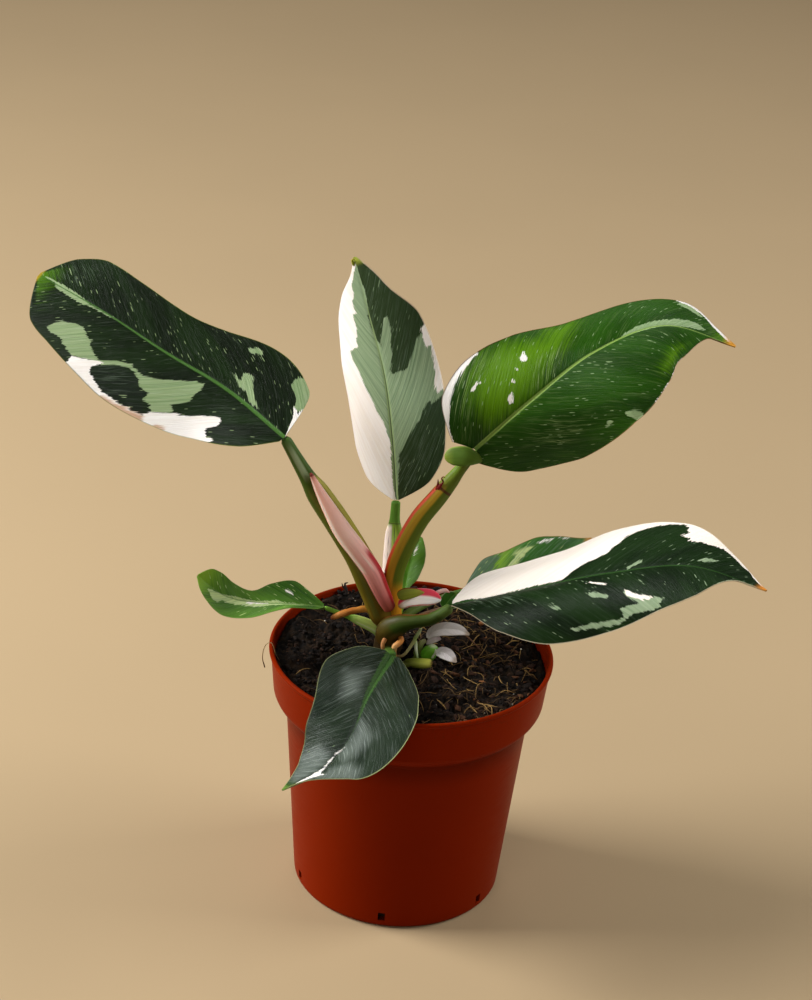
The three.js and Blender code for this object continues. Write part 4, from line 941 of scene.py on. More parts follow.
def leaf_material(name):
    """Waxy blade: greens, variegated sectors with edges torn along the veins, flecks and midrib."""
    look = {**PLAIN_LEAF, **LEAF_LOOKS[name]}
    n = Nodes(name)
    vein = n.mark("vein", "Vector")
    coarse = n.noise(vein, (0.35, 0.05, 1))
    fine = n.noise(vein, (1.5, 0.13, 1), 3, 0.6)
    soft = n.noise(vein, (0.06, 0.035, 1), 3)
    striped = n.noise(vein, (0.7, 0.02, 1), 3, 0.6)
    torn = n.math("MULTIPLY_ADD", fine, 3.4, n.math("MULTIPLY_ADD", coarse, 2.4, -2.9))
    torn = n.math("MULTIPLY", torn, look["mottle"])

    def patch(tone):
        """How far inside a torn patch of that tone."""
        return n.math("ADD", n.mark(tone), torn)

    base = leaf_greens(n, soft, striped, look)
    base = n.tint(base, leaf_sage(n, fine, striped, look), patch("sage"), -0.15, 0.15, 0.94)
    dark_tone = n.tint(look["dark"], look["light"], striped, 0.45, 0.7, 0.6)
    base = n.tint(base, dark_tone, patch("dark"), -0.2, 0.2)
    # Painted sheen and highlight: pale lines along the veins, stronger in the gleam patches.
    base = leaf_painted_sheen(n, vein, base, look)
    base = leaf_flecks(n, vein, base, look)
    base = leaf_rib(n, vein, fine, base, look)
    white_tone = n.tint(look["white"], CREAM, coarse, 0.35, 0.7, 0.3)
    base = n.tint(base, white_tone, patch("white"), -0.15, 0.15)
    if "scorch_streaks" in PATCHES.get(name, {}):
        base = n.tint(base, SCORCH, patch("scorch"), -1.2, 0.6, 0.8)
    base = leaf_margin(n, base, look)
    streaks = n.noise(vein, (1.3, 0.05, 1), 4, 0.7)
    gloss = n.math("MULTIPLY_ADD", streaks, 0.3, look["gloss"] - 0.15)
    gloss = n.math("MULTIPLY_ADD", n.mark("under"), 0.2, gloss)
    n.bump(n.math("MULTIPLY_ADD", soft, 0.2, streaks), 0.3)
    return n.finish(base, gloss, look["shine"], (0.05, (0.0012, 0.0014, 0.0006)))


def leaf_greens(n, soft, striped, look):
    """The two greens that a blade wavers between, and the yellow-green of young sectors."""
    base = n.tint(look["deep"], look["light"], soft, 0.35, 0.68)
    lime = n.math("ADD", n.mark("lime"), n.math("MULTIPLY_ADD", striped, 22, -11))
    base = n.tint(base, look["lime"], lime, -7, 8)
    return n.tint(base, look["light"], striped, 0.4, 0.7, 0.25)


def leaf_sage(n, fine, striped, look):
    """Grey-green of the sage sectors, streaked along the veins."""
    tone = n.tint(look["sage"], SAGE_LIGHT, fine, 0.35, 0.7, 0.4)
    return n.tint(tone, look["sage_shade"], striped, 0.42, 0.7, 0.7)


def leaf_margin(n, base, look):
    """Colours of the margin and the tip, and the duller lower face."""
    base = n.tint(base, look["edge"], n.mark("edge"), 0.5, 0.1, 0.7)
    base = n.tint(base, look["tip"], n.mark("tip"), look["tip_length"], 0.3 * look["tip_length"])
    return n.mix(n.mark("under"), base, n.mix(0.35, base, UNDERSIDE))


def leaf_rib(n, vein, fine, base, look):
    """Pale midrib with a ragged edge, and the dark line in the middle of a split-looking rib."""
    ragged = n.math("SUBTRACT", n.mark("rib"), 0.5 * look["ragged"])
    ragged = n.math("MULTIPLY_ADD", fine, look["ragged"], ragged)
    base = n.tint(base, look["rib"], ragged, -0.3, 0.25)
    line = n.math("MULTIPLY", n.step(n.part(vein, 1), 0.34, 0.16), n.step(n.mark("rib"), 0.2, 0.5))
    return n.mix(n.math("MULTIPLY", line, look["rib_line"]), base, look["dark"])


def leaf_painted_sheen(n, vein, base, look):
    """Painted sheen along the side veins, as pale broken lines, and painted highlight in the gleam patches.
    """
    sway = n.math("MULTIPLY", n.noise(vein, (0.08, 0.12, 1)), 4)
    along = n.node("CombineXYZ", (n.math("ADD", n.part(vein, 0), sway), n.part(vein, 1))).outputs[0]
    lines = n.noise(along, (1.7, 0.06, 1), 3, 0.6)
    breaks = n.noise(vein, (0.5, 0.2, 1), 3)
    amount = n.math("MULTIPLY", n.step(lines, 0.48, 0.66), n.step(breaks, 0.36, 0.6))
    shine = n.step(n.mark("gleam"), -4, 4)
    share = n.math("MULTIPLY_ADD", shine, look["gleam"], look["vein_sheen"])
    lit = n.math("MULTIPLY_ADD", shine, look["sheen"], n.math("MULTIPLY", amount, share))
    return n.mix(lit, base, look["sheen_tone"])


def leaf_flecks(n, vein, base, look):
    """Small pale dashes that lie along the side veins, in three sizes."""
    for scale, size in (((0.16, 0.055, 1), 0.1), ((0.36, 0.13, 1), 0.14), ((0.7, 0.3, 1), 0.2)):
        distance, chance = n.cells(vein, scale)
        near = n.step(distance, size, size * 0.7)
        chosen = n.step(chance, 1 - look["flecks"], 1 - look["flecks"] * 0.9)
        base = n.mix(n.math("MULTIPLY", n.math("MULTIPLY", near, chosen), 0.75), base, look["sage"])
    return base


def stalk_material(name, stalk):
    """Juicy stalk whose colour changes along it and round it, with fine lengthwise lines."""
    n = Nodes(name)
    along = n.mark("along")
    turn = n.mark("turn", "Vector")
    base = n.ramp(along, stalk["along"])
    lines = n.noise(turn, (2.6, 2.6, 0.03), 4, 0.65)
    for middle, half, start, end, tone in stalk.get("bands", []):
        base = n.mix(stalk_band(n, turn, along, lines, middle, half, start, end), base, tone)
    for middle, half, tone in stalk.get("rings", []):
        away = n.math("ABSOLUTE", n.math("SUBTRACT", along, middle))
        base = n.tint(base, tone, away, half, half * 0.4, 0.85)
    base = n.tint(base, n.mix(0.6, base, (34, 28, 12)), lines, 0.4, 0.75, 0.35)
    mottled = n.noise(turn, (1.2, 1.2, 0.12), 3)
    n.bump(n.math("MULTIPLY_ADD", mottled, 0.5, lines), 0.12)
    roughness = n.math("MULTIPLY_ADD", mottled, 0.2, 0.4)
    return n.finish(base, roughness, 0.2, (0.08, (0.002, 0.0015, 0.0006)))


def stalk_band(n, turn, along, lines, middle, half, start, end):
    """Share of a stripe: 1 near its middle angle, 0 outside, and it fades in and out at its ends."""
    middle, half, soft = math.radians(middle), math.radians(half), math.radians(min(half * 0.45, 12))
    aim = (math.cos(middle), math.sin(middle), 0)
    facing = n.node("VectorMath", (turn, aim), operation="DOT_PRODUCT").outputs["Value"]
    facing = n.math("MULTIPLY_ADD", lines, 0.1, n.math("SUBTRACT", facing, 0.05))
    round_it = n.step(facing, math.cos(half + soft), math.cos(max(half - soft, 0)))
    before = n.step(along, start - 0.02, start + 0.05)
    after = n.step(along, end + 0.02, end - 0.05)
    return n.math("MULTIPLY", round_it, n.math("MULTIPLY", before, after))


def pot_material():
    """Thin orange-brown moulded plastic: painted shade under the collar, scuffs, dust at the rim."""
    n = Nodes("pot_plastic")
    place = n.object_place()
    height = n.math("MULTIPLY", n.part(place, 2), 1 / MM)
    foot, top = POT["collar_foot"], POT["height"]
    base = n.tint((122, 30, 2), (110, 26, 2), n.noise(place, 18, 3), 0.3, 0.75, 0.35)
    # Painted shade: a band of the body just under the collar is darkened where the collar would shade it.
    above, below = n.step(height, foot + 5, foot + 2, 0.55), n.step(height, foot - 12, foot + 1.5)
    painted_collar_shade = n.math("MULTIPLY", below, above)
    base = n.mix(painted_collar_shade, base, (66, 14, 2))
    specks = n.noise(place, (900, 900, 700), 3, 0.6)
    dusty = n.math("MULTIPLY", n.step(specks, 0.56, 0.7), n.step(height, top - 16, top - 1))
    base = n.mix(n.math("MULTIPLY", dusty, 0.45), base, (60, 38, 26))
    scuffs = n.noise(place, (140, 140, 1400))
    n.bump(n.math("MULTIPLY_ADD", scuffs, 0.5, n.noise(place, 1500)), 0.02)
    roughness = n.math("MULTIPLY_ADD", scuffs, 0.16, 0.32)
    return n.finish(base, roughness, 0.02, (0.05, (0.003, 0.001, 0.0005)), (255, 120, 60))


def soil_material():
    """Moist peat: near black with brown crumbs."""
    n = Nodes("potting_mix")
    place = n.object_place()
    clods = n.noise(place, 260, 5, 0.65)
    base = n.tint((9, 6, 4), (42, 29, 16), clods, 0.4, 0.72)
    base = n.tint(base, (30, 18, 11), n.noise(place, 45), 0.5, 0.75, 0.4)
    n.bump(clods, 0.8)
    return n.finish(base, 0.9, 0.12)


def tone_material(name):
    """Crumbs, fibres and chips: each has its own tone, with a little grain."""
    stops, roughness = TONES[name]
    n = Nodes(name)
    grain = n.noise(n.object_place(), 700, 3)
    base = n.tint(n.ramp(n.mark("tone"), stops), (24, 15, 10), grain, 0.4, 0.8, 0.5)
    n.bump(grain, 0.3)
    return n.finish(base, roughness, 0.2)


# Leaf blades


def blade_surface(leaf, u, s):
    """Middle surface of a blade, in mm. u runs from base to tip, s from right edge -1 to left 1."""
    side = np.where(s >= 0, 1.0, -1.0)
    reach = np.abs(s) * blade_width(leaf, u, s)
    forward = leaf["forward"] * np.sin(np.pi * u) * (1 - 0.3 * u)
    sweep = forward - leaf.get("lobe", 0) * np.maximum(1 - 4 * u, 0) ** 2
    x = u + sweep * np.abs(s) ** 1.5
    way = spline_way(leaf["spine"], x)
    knots = evenly(leaf["face"])
    face = np.stack([smooth(knots, axis, np.clip(x, 0, 1)) for axis in np.transpose(leaf["face"])], -1)
    up = unit(face - (face * way).sum(-1, keepdims=True) * way)
    left = np.cross(up, way)
    fold = np.radians(np.where(s >= 0, *leaf["fold"]))
    curl = np.radians(np.where(s >= 0, *leaf["curl"])) / CURL_WIDTH
    out = (np.sin(fold + curl * reach) - np.sin(fold)) / curl
    rise = (np.cos(fold) - np.cos(fold + curl * reach)) / curl
    return spline(leaf["spine"], x) + left * (side * out)[..., None] + up * rise[..., None]


def blade_width(leaf, u, s):
    return np.where(s >= 0, smooth(STATIONS, leaf["left"], u), smooth(STATIONS, leaf["right"], u))


def side_width(leaf, s):
    """Greatest half-width of the side that a point lies on, so that patches narrow with the blade."""
    return np.where(s >= 0, max(leaf["left"]), max(leaf["right"]))


def side_vein_place(leaf, length, u, reach):
    """Where the side vein through a point leaves the midrib, in mm. Side veins lean to the tip."""
    return u * length - leaf.get("lean", SIDE_VEINS["lean"]) * reach - SIDE_VEINS["bow"] * reach**2


def rib_width(leaf, u):
    """Half-width of the midrib's pale line, in mm."""
    width = 0.9 * min(1, max(leaf["left"]) / 20) * (1 - 0.9 * u)
    if "broad_rib" in leaf:
        start, end = leaf["broad_rib"]
        width = np.maximum(start * (1 - u / end), width - 0.6)
    return width


def blade_marks(leaf, patches, u, s):
    """Named values for the blade's material, at each point of one skin."""
    length = spline_length(leaf["spine"])
    width = blade_width(leaf, u, s)
    reach = np.abs(s) * width
    vein = np.stack([side_vein_place(leaf, length, u, reach), reach, 40 * np.sign(s)], -1)
    marks = {"vein": vein, "edge": (1 - np.abs(s)) * width, "tip": (1 - u) * length}
    marks["rib"] = rib_width(leaf, u) - reach
    plane = np.stack([u * length, s * side_width(leaf, s)], -1)
    for tone in ("white", "sage", "dark", "lime", "gleam", "scorch"):
        marks[tone] = patch_depth(patches, tone, plane, leaf, length)
    return marks


def patch_depth(patches, tone, plane, leaf, length):
    """How far each point lies inside the nearest patch of that tone, in mm."""
    depth = np.full(plane.shape[:-1], -20.0)
    for outline in patches.get(tone, []):
        depth = np.maximum(depth, inside_outline(plane, blade_points(outline, leaf, length)))
    for line, start, end in patches.get(tone + "_streaks", []):
        depth = np.maximum(depth, inside_streak(plane, blade_points(line, leaf, length), start, end))
    return depth


def blade_points(percents, leaf, length):
    """Patch points in mm along and across the flat blade."""
    u, s = np.array(percents, float).T / 100
    return np.stack([u * length, s * side_width(leaf, s)], -1)


def blade_relief(leaf, seed, u, s, middle):
    """Heights on a blade, in mm: waves of both skins, and the veins' cuts into the upper one."""
    length = spline_length(leaf["spine"])
    reach = np.abs(s) * blade_width(leaf, u, s)
    big = min(1, length / 100)
    waves = WAVE["height"] * big * np.abs(s) ** 1.5 * np.clip(4 * (1 - u), 0, 1)
    waves = waves * wander(middle, WAVE["size"], seed, 2)
    groove = MIDRIB_GROOVE["depth"] * (1 - 0.7 * u) * np.exp(-((reach / MIDRIB_GROOVE["width"]) ** 2))
    turn = side_vein_place(leaf, length, u, reach) / SIDE_VEINS["spacing"] + 0.3 * np.sign(s)
    away = np.abs(turn % 1 - 0.5) * 2
    fade = np.clip(reach / 3, 0, 1) * np.clip((1 - np.abs(s)) * 5, 0, 1) * (1 - 0.6 * u)
    veins = SIDE_VEINS["depth"] * fade * np.exp(-((away / SIDE_VEINS["width"]) ** 2))
    return waves, -big * (groove + veins)


def keel_height(leaf, u, s):
    """The midrib stands out of the lower face."""
    reach = np.abs(s) * blade_width(leaf, u, s)
    height = leaf.get("keel", KEEL["height"]) * KEEL["share"]
    return height * (1 - 0.8 * u) * np.exp(-((reach / KEEL["width"]) ** 2))


def blade_grid(leaf):
    """Rows of u and s over a blade, closer together at its ends and at its midrib."""
    share = np.interp(spline_length(leaf["spine"]), BLADE_MESH["lengths"], BLADE_MESH["shares"])
    rows, half = int(BLADE_MESH["rows"] * FINE * share), int(BLADE_MESH["half"] * FINE * share)
    u = TIP_END * (1 - np.cos(np.linspace(0, np.pi, rows))) / 2
    across = np.linspace(0, 1, half) ** 1.2
    u, s = np.meshgrid(u, np.concatenate([-across[:0:-1], across]), indexing="ij")
    s[-1] = 0
    return u, s


def add_blade(name, leaf, seed):
    u, s = blade_grid(leaf)
    middle = blade_surface(leaf, u, s)
    normal = unit(np.cross(np.gradient(middle, axis=0), np.gradient(middle, axis=1)))
    normal[-1] = normal[-2]
    waves, cuts = blade_relief(leaf, seed, u, s, middle)
    thin = BLADE_THICKNESS / 2 * np.sqrt(np.clip(1 - np.abs(s) ** 12, 0.15, 1))
    upper = middle + normal * (thin + waves + cuts)[..., None]
    lower = middle - normal * (thin - waves + keel_height(leaf, u, s))[..., None]
    points = np.concatenate([upper.reshape(-1, 3), lower.reshape(-1, 3)])
    faces = np.concatenate([
        grid_faces(*u.shape, flip=True), grid_faces(*u.shape, offset=u.size), rim_faces(*u.shape),
    ])
    marks = {}
    for key, value in blade_marks(leaf, PATCHES.get(name, {}), u, s).items():
        skin = value.reshape(-1, *value.shape[2:])
        marks[key] = np.concatenate([skin, skin])
    marks["under"] = np.repeat([0.0, 1.0], u.size)
    points, faces, marks = welded(points, faces, marks)
    add_piece(name + "_blade", points, faces, leaf_material(name), marks, [name])


# Stalks, sheaths and roots


def stalk_points(stalk, t, angle):
    """Skin of a stalk, in mm. angle 0 is the side that its groove looks to."""
    knots = evenly(stalk["route"])
    across = smooth(knots, stalk["across"], t)
    deep = smooth(knots, stalk.get("deep", stalk["across"]), t)
    groove = smooth(knots, stalk.get("groove", [0] * len(knots)), t)
    way = spline_way(stalk["route"], t)
    look = np.array(stalk.get("look", FRONT), float)
    look = unit(look - (way @ look)[..., None] * way)
    turn = np.minimum(angle, 2 * np.pi - angle)
    cut = 1 - groove * np.exp(-((turn / 0.6) ** 2))
    sideways = (across * cut * np.sin(angle))[..., None] * np.cross(look, way)
    return spline(stalk["route"], t) + sideways + (deep * cut * np.cos(angle))[..., None] * look


def add_stalk(name, stalk, nodes=()):
    route, length = stalk["route"], spline_length(stalk["route"])
    sides, count = int(STALK_MESH["sides"] * FINE), int(STALK_MESH["rings"] * FINE * (len(route) - 1))
    turns = np.linspace(0, 2 * np.pi, sides, endpoint=False)
    t, angle = np.meshgrid(np.linspace(0, 1, count), turns, indexing="ij")
    rings, middle = stalk_points(stalk, t, angle), spline(route, t)
    from_end = np.minimum(t, 1 - t) * length
    blunt = np.sqrt(1 - 0.6 * np.clip(1 - from_end / BLUNT_END, 0, 1) ** 2)
    swell = (stalk.get("slim", 1) + stalk.get("rough", 0) * 0.3 * wander(rings, 2.2, 5)) * blunt
    rings = middle + (rings - middle) * swell[..., None]
    points = np.concatenate([rings.reshape(-1, 3), spline(route, np.array([0.0, 1.0]))])
    faces = ring_faces(count, sides).tolist()
    last_ring, first_end, last_end = (count - 1) * sides, count * sides, count * sides + 1
    for k in range(sides):
        after = (k + 1) % sides
        faces += [[first_end, after, k], [last_end, last_ring + k, last_ring + after]]
    turn = np.stack([np.cos(angle), np.sin(angle), t * length], -1).reshape(-1, 3)
    marks = {
        "along": np.append(t, [0, 1]),
        "turn": np.concatenate([turn, [[0, 0, 0], [0, 0, length]]]),
    }
    add_piece(name + "_stalk", points, faces, stalk_material(name, stalk), marks, nodes)


# Pot and soil


def rounded(profile, radii, steps=5):
    """A profile whose corners are rounded by arcs, with support points beside each arc."""
    profile = np.asarray(profile, float)
    out = [profile[0]]
    for before, corner, after, radius in zip(profile, profile[1:], profile[2:], radii):
        back, ahead = before - corner, after - corner
        room = min(np.linalg.norm(back), np.linalg.norm(ahead)) * 0.45
        back, ahead = unit(back), unit(ahead)
        cut = min(radius, room)
        support = min(cut * 1.35, room * 1.1)
        out.append(corner + back * support)
        for share in np.linspace(0, 1, steps):
            out.append(corner + back * cut * (1 - share) ** 2 + ahead * cut * share**2)
        out.append(corner + ahead * support)
    return np.array([*out, profile[-1]])


def lathe(profile, sides):
    """Points and faces of a turned body whose profile starts and ends on the axis."""
    turn = np.linspace(0, 2 * np.pi, sides, endpoint=False)
    radius, height = np.transpose(profile)
    points = np.stack([np.outer(radius, np.cos(turn)), np.outer(radius, np.sin(turn)),
                       np.repeat(height[:, None], sides, 1)], -1)
    return points.reshape(-1, 3), ring_faces(len(profile), sides)


def collar_swell(inner, outer, foot, steps=14):
    """Profile points of the soft S-bend between the pot's body and its collar."""
    outward, upward = (0, 0.12, 0.48, 0.86, 1), (0, 0.15, 0.45, 0.75, 1)
    rise = np.linspace(0, 1, steps)
    share = smooth(upward, outward, rise)
    return np.stack([inner + (outer - inner) * share, foot + POT["collar_rise"] * rise], -1)


def pot_profile():
    """Outside from the middle of the base up to the rim, then down the inside."""
    rim, collar, body, base, wall = (POT[key] for key in ("rim", "collar", "body", "base", "wall"))
    foot, top, floor, pad, recess = (POT[key] for key in ("collar_foot", "height", "floor", "pad", "recess"))
    outside = [[0, 0], [pad, 0], [pad + 1.5, recess], [base - 5.5, recess], [base - 4, 0],
               [base - 1.5, 0], [base, 1.5], [base + 0.4, 6]]
    lip = [[rim - 0.9, top - 2.2], [rim, top - 1.4], [rim, top - 0.5], [rim - 0.6, top],
           [rim - 1.4, top], [rim - 2, top - 0.6], [rim - 2.2, top - 3]]
    inside = [[base - wall + 0.2, floor + 1], [base - wall - 0.8, floor], [0, floor]]
    swell = collar_swell(body, collar, foot)
    inner_swell = collar_swell(body - wall, collar - wall, foot + wall / 2)[::-1]
    return [*rounded(outside, [1, 0.5, 0.5, 0.5, 0.5, 1.2]), *swell,
            *rounded([swell[-1], *lip], [0.6] * 6)[1:], *inner_swell,
            *rounded([inner_swell[-1], *inside], [0.6, 1])[1:]]


def cutter(outline, low, high, turn):
    """A prism over a flat outline, in mm, turned about the pot's axis by degrees."""
    count = len(outline)
    points = [(x * MM, y * MM, z * MM) for z in (low, high) for x, y in outline]
    sides = [(i, (i + 1) % count, count + (i + 1) % count, count + i) for i in range(count)]
    mesh = bpy.data.meshes.new("cutter")
    mesh.from_pydata(points, [], [*sides, range(count)[::-1], range(count, 2 * count)])
    mesh.transform(Matrix.Rotation(math.radians(turn), 4, "Z"))
    return add_object("cutter", mesh)


def pot_cutters():
    """The drain slots round the pot's foot and the holes in its floor."""
    near, far, half = POT["base"] - DRAIN["reach"] / 2, POT["base"] + DRAIN["reach"] / 2, DRAIN["width"] / 2
    box = [(near, -half), (far, -half), (far, half), (near, half)]
    turns = [2 * math.pi * i / FLOOR_HOLE["sides"] for i in range(FLOOR_HOLE["sides"])]
    radius, pitch = FLOOR_HOLE["radius"], FLOOR_HOLE["pitch"]
    circle = [(pitch + radius * math.cos(turn), radius * math.sin(turn)) for turn in turns]
    low, high, deep = DRAIN["sill"], DRAIN["sill"] + DRAIN["height"], FLOOR_HOLE["deep"]
    slots = [cutter(box, low, high, turn) for turn in around(DRAIN)]
    return slots + [cutter(circle, -deep, deep, turn) for turn in around(FLOOR_HOLE)]


def around(holes):
    """Angles of evenly spaced holes, in degrees."""
    return [holes["first"] + 360 * i / holes["count"] for i in range(holes["count"])]


def cut_away(piece, cutters):
    """Cuts the cutters out of a piece for good, and removes them."""
    for tool in cutters:
        modifier = piece.modifiers.new("cut", "BOOLEAN")
        modifier.operation, modifier.solver, modifier.object = "DIFFERENCE", "EXACT", tool
    graph = bpy.context.evaluated_depsgraph_get()
    mesh = bpy.data.meshes.new_from_object(piece.evaluated_get(graph))
    piece.modifiers.clear()
    piece.data = mesh
    for tool in cutters:
        bpy.data.objects.remove(tool)


def add_pot():
    points, faces = lathe(pot_profile(), int(POT_SIDES * FINE))
    points, faces, _ = welded(points, faces, {})
    pot = add_piece("pot_shell", points, faces, pot_material(), nodes=["pot"])
    cut_away(pot, pot_cutters())
    pot.data.shade_smooth()
    pot.data.set_sharp_from_angle(angle=math.radians(40))


def soil_height(x, y, clods=1.0):
    """Height of the soil's top at a place, in mm. It is heaped up at the back and round the stem."""
    lumps = (0.9 * np.sin(x / 7 + 1) * np.sin(y / 6) + 0.6 * np.sin(x / 3.1 + y / 4.3)
             + 0.4 * np.sin(y / 2.9 - x / 5))
    away = np.hypot(x - MOUND["x"], y - MOUND["y"]) / MOUND["spread"]
    heap = SOIL["heaped"] * np.maximum(0.5 + 0.5 * y / POT["rim"], 0) ** 1.6
    place = np.stack([x, y, 0 * x], -1)
    rough = 1.2 * wander(place, 6, 31) + 1.4 * np.abs(wander(place, 2.2, 47, 4)) - 0.6
    reach = np.hypot(x, y) / POT["rim"]
    bank = BANK * np.clip((reach - 0.6) / 0.3, 0, 1) * np.clip((-x / 50 + 0.1), 0, 1)
    inside = 1 - (np.hypot(x, y) / (POT["rim"] - 2)) ** 6
    mound = MOUND["height"] * np.exp(-away * away)
    return SOIL["level"] + heap + bank + np.maximum(inside, 0) * (lumps + mound) + clods * rough


def wall_radius(z):
    """Inner radius of the pot's collar at a height."""
    top = POT["collar_foot"] + POT["collar_rise"]
    slope = (POT["rim"] - 2 - POT["collar"] + POT["wall"]) / (POT["height"] - top)
    return POT["collar"] - POT["wall"] + slope * (z - top)


def add_soil():
    clear = POT["wall"] + SOIL["gap"]
    low, base = POT["floor"] + 0.3, POT["base"] - clear
    rings, sides = int(SOIL_MESH["rings"] * FINE), int(SOIL_MESH["sides"] * FINE)
    swell = collar_swell(POT["body"] - clear, POT["collar"] - clear - 0.2, POT["collar_foot"] + clear)
    wall = [[0, low], [base - 1.2, low], [base, low + 1.2], *swell]
    surface = [[i / rings, SOIL["level"]] for i in range(rings, -1, -1)]
    points, faces = lathe(wall + surface, sides)
    top = slice(len(wall) * sides, None)
    x, y = points[top, :2].T
    edge = wall_radius(SOIL["level"] + 3 + 3 * y) - 0.35
    x, y = x * edge, y * edge
    points[top] = np.stack([x, y, soil_height(x, y)], -1)
    points, faces, _ = welded(points, faces, {})
    add_piece("soil_ball", points, faces, soil_material(), nodes=["soil"])


# Loose bits on the soil


def ball(level):
    """Points and triangles of a unit ball, from an icosahedron split so many times."""
    golden = (1 + 5**0.5) / 2
    points = [np.roll([0, a, b * golden], turn) for turn in range(3) for a in (-1, 1) for b in (-1, 1)]
    points = unit(np.array(points, float))
    gaps = np.linalg.norm(points[:, None] - points[None], axis=-1)
    near = (gaps > 0) & (gaps < 1.1)
    faces = [(i, j, k) for i in range(12) for j in range(i) for k in range(j)
             if near[i, j] and near[j, k] and near[i, k]]
    for _ in range(level):
        points, faces = split(points, faces)
    faces = np.array(faces)
    a, b, c = points[faces].transpose(1, 0, 2)
    inward = (np.cross(b - a, c - a) * a).sum(-1) < 0
    faces[inward] = faces[inward][:, ::-1]
    return points, faces


def split(points, faces):
    """Cuts each triangle into four."""
    points, place, out = list(points), {}, []

    def middle(a, b):
        key = (min(a, b), max(a, b))
        if key not in place:
            place[key] = len(points)
            points.append(unit(points[a] + points[b]))
        return place[key]

    for a, b, c in faces:
        ab, bc, ca = middle(a, b), middle(b, c), middle(c, a)
        out += [(a, ab, ca), (b, bc, ab), (c, ca, bc), (ab, bc, ca)]
    return np.array(points), out


def turned(points, tilt, heading):
    """Turns points about X by tilt, then about Z by heading, in radians."""
    x, y, z = points.T
    y, z = y * math.cos(tilt) - z * math.sin(tilt), y * math.sin(tilt) + z * math.cos(tilt)
    x, y = x * math.cos(heading) - y * math.sin(heading), x * math.sin(heading) + y * math.cos(heading)
    return np.stack([x, y, z], -1)


def add_lumps(name, count, sizes, level, seed, material, place):
    """Small uneven lumps strewn by place(draw) -> (x, y, z), in one piece."""
    draw = np.random.default_rng(seed)
    shape, triangles = ball(level)
    points, faces, tones = [], [], []
    for _ in range(int(count * FINE)):
        size = draw.uniform(*sizes)
        stretch = size * np.array([draw.uniform(0.7, 1.7), draw.uniform(0.5, 1), draw.uniform(0.4, 0.8)])
        dents = 1 + 0.4 * wander(shape * draw.uniform(0.8, 1.2) + draw.uniform(0, 90, 3), 0.9, 3, 2)
        lump = turned(shape * dents[:, None] * stretch, draw.uniform(-0.7, 0.7), draw.uniform(0, 6.28))
        faces.append(triangles + len(shape) * len(points))
        points.append(lump + place(draw))
        tones.append(np.full(len(shape), draw.uniform(0, 1)))
    faces = np.concatenate(faces).tolist()
    add_piece(name, np.concatenate(points), faces, material, {"tone": np.concatenate(tones)})


def on_soil(draw, reach=0.97, lift=(-0.3, 0.5)):
    """A random place on the soil."""
    radius = (POT["collar"] - POT["wall"] - 1.5) * reach * math.sqrt(draw.uniform(0, 1))
    turn = draw.uniform(0, 2 * math.pi)
    x, y = radius * math.cos(turn), radius * math.sin(turn)
    z = soil_height(np.array([x]), np.array([y]))[0]
    return np.array([x, y, z + draw.uniform(*lift)])


def on_right_soil(draw):
    """A random place on the right and front of the soil, where coarse bark lies."""
    while True:
        place = on_soil(draw, lift=(0, 0.7))
        if place[0] > 6 - 0.3 * place[1]:
            return place


def on_back_rim(draw):
    """A random place on the soil heaped against the back of the rim."""
    turn = math.radians(draw.uniform(*BACK_RIM["turns"]))
    radius = draw.uniform(*BACK_RIM["radii"])
    return np.array([radius * math.cos(turn), radius * math.sin(turn), draw.uniform(*BACK_RIM["heights"])])


def thread(points, radius, sides=5):
    """Rings round a line of points, with both ends closed."""
    way = unit(np.gradient(points, axis=0))
    side = unit(np.cross(way, [0.3, 0.2, 1]))
    over = np.cross(side, way)
    turn = np.linspace(0, 2 * np.pi, sides, endpoint=False)[None, :, None]
    taper = (1 - 0.6 * np.linspace(-1, 1, len(points)) ** 4)[:, None, None] * radius
    rings = points[:, None] + taper * (side[:, None] * np.cos(turn) + over[:, None] * np.sin(turn))
    faces = ring_faces(len(points), sides).tolist()
    faces.append(list(range(sides))[::-1])
    faces.append([(len(points) - 1) * sides + k for k in range(sides)])
    return rings.reshape(-1, 3), faces


def add_fibres(name, count, lengths, radii, seed, material, place):
    """Thin bent fibres that lie on the soil, each starting at place(draw)."""
    draw = np.random.default_rng(seed)
    share = np.linspace(0, 1, FIBRE_POINTS)
    points, faces, tones, total = [], [], [], 0
    for _ in range(int(count * FINE)):
        start = place(draw)
        length, bend = draw.uniform(*lengths), draw.normal(0, 0.8)
        heading = draw.uniform(0, 2 * math.pi) + bend * share
        x = start[0] + np.cumsum(np.cos(heading)) * length / FIBRE_POINTS
        y = start[1] + np.cumsum(np.sin(heading)) * length / FIBRE_POINTS
        keep = np.minimum(1, (POT["collar"] - 3) / np.hypot(x, y))
        x, y = x * keep, y * keep
        lift = 1.2 + draw.uniform(0, 1.6) * np.sin(math.pi * share) ** 2
        line = np.stack([x, y, soil_height(x, y, 0) + lift], -1)
        tube, rings = thread(line, draw.uniform(*radii))
        points.append(tube)
        faces += [[corner + total for corner in face] for face in rings]
        tones.append(np.full(len(tube), draw.uniform(0, 1)))
        total += len(tube)
    add_piece(name, np.concatenate(points), faces, material, {"tone": np.concatenate(tones)})


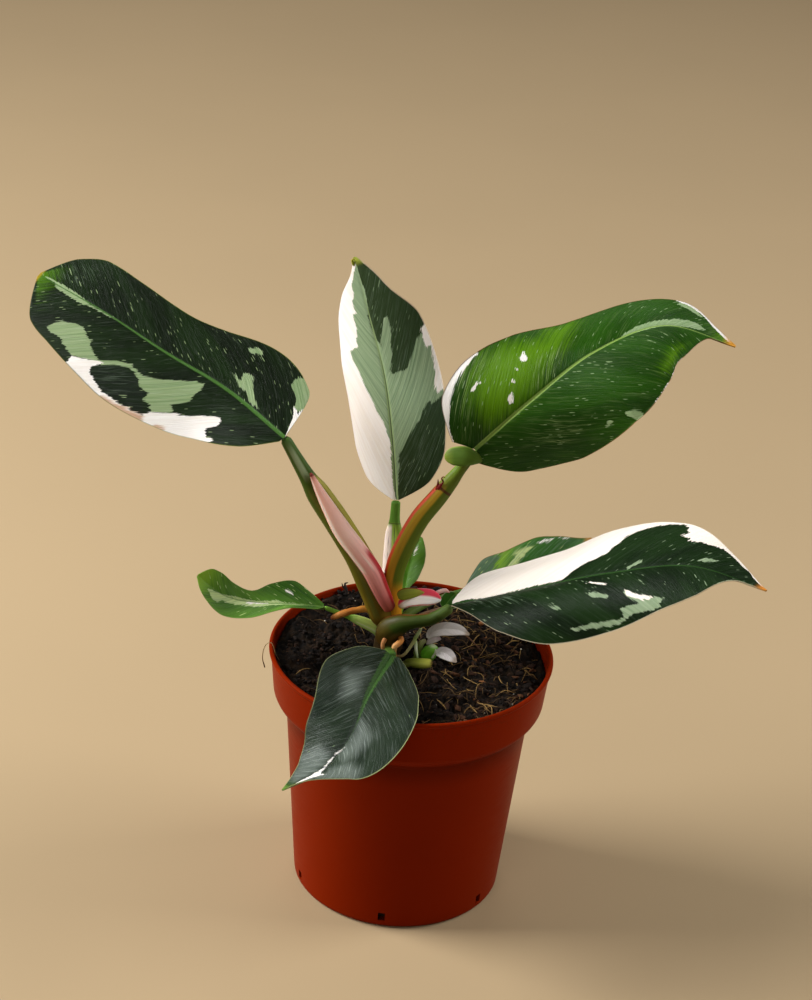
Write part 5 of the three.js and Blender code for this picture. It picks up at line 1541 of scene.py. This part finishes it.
def add_loose_bits():
    """Crumbs, bark chips, fibres and pale grains on the soil."""
    peat, bark, straw, grain = [tone_material(name) for name in TONES]
    add_lumps("soil_crumbs", 900, (0.5, 1.4), 1, 5, peat, on_soil)
    add_lumps("fine_crumbs", 2200, (0.22, 0.6), 1, 15, peat, on_soil)
    add_lumps("rim_crumbs", 110, (0.5, 1.4), 1, 6, peat, on_back_rim)
    add_lumps("bark_chips", 150, (0.5, 1.5), 2, 7, bark, on_right_soil)
    add_lumps("pale_grains", 34, (0.25, 0.5), 1, 8, grain, on_soil)
    add_fibres("soil_fibres", 70, (4, 14), (0.1, 0.18), 9, straw, on_soil)
    add_fibres("bark_fibres", 190, (3, 12), (0.1, 0.26), 19, straw, on_right_soil)


# Camera, light and floor


def add_camera():
    """Puts the camera at the photograph's angle and roll."""
    camera = add_object("camera", bpy.data.cameras.new("camera"))
    camera.data.sensor_width = CAMERA["sensor"]
    camera.data.lens = CAMERA["focal_pixels"] / CAMERA["long_side"] * CAMERA["sensor"]
    tilt = math.radians(CAMERA["elevation"])
    roll = math.radians(CAMERA["roll"])
    back = Vector((0, -math.cos(tilt), math.sin(tilt)))
    up = Vector((0, math.sin(tilt), math.cos(tilt)))
    side = Vector((1, 0, 0))
    right = side * math.cos(roll) + up * math.sin(roll)
    above = up * math.cos(roll) - side * math.sin(roll)
    place = (Vector(CAMERA["target"]) + back * CAMERA["distance"]) * MM
    turn = Matrix((right, above, back)).transposed().to_4x4()
    camera.matrix_world = Matrix.Translation(place) @ turn
    camera.data.clip_end = 100
    bpy.context.scene.camera = camera


def add_softbox(name, place, size, power):
    """A square area light that looks at the plant."""
    data = bpy.data.lights.new(name, "AREA")
    data.size = size
    data.energy = power
    light = add_object(name, data)
    light.location = place
    aim = Vector((0, 0, 0.14)) - Vector(place)
    light.rotation_euler = aim.to_track_quat("-Z", "Y").to_euler()


def add_lights():
    add_softbox("left_softbox", (-1.3, 0.1, 0.95), 0.8, 39)
    add_softbox("right_softbox", (1.3, 0.2, 0.9), 0.8, 16)
    add_softbox("back_softbox", (0, 1.3, 1.5), 0.8, 4)
    add_softbox("front_fill", (-0.5, -1.7, 1.3), 1.0, 6)
    world = bpy.data.worlds.new("studio")
    world.use_nodes = True
    background = world.node_tree.nodes["Background"]
    background.inputs["Color"].default_value = colour((224, 216, 204))
    background.inputs["Strength"].default_value = 0.12
    bpy.context.scene.world = world
    bpy.context.scene.view_settings.view_transform = "Standard"


def add_floor():
    """A wide plain floor under the pot."""
    half = 12  # m
    mesh = bpy.data.meshes.new("floor")
    corners = [(-half, -half, 0), (half, -half, 0), (half, half, 0), (-half, half, 0)]
    mesh.from_pydata(corners, [], [(0, 1, 2, 3)])
    n = Nodes("floor")
    base = n.tint((174, 150, 114), (168, 145, 110), n.noise(n.object_place(), 6), 0.3, 0.7, 0.3)
    mesh.materials.append(n.finish(base, 0.85))
    add_object("floor", mesh)


add_camera()
add_lights()
add_floor()
for seed, (name, leaf) in enumerate(BLADES.items()):
    add_blade(name, leaf, seed)
for name, stalk in STALKS.items():
    add_stalk(name, stalk, [name])
for name, stalk in EXTRAS.items():
    add_stalk(name, stalk)
add_soil()
add_loose_bits()
add_pot()
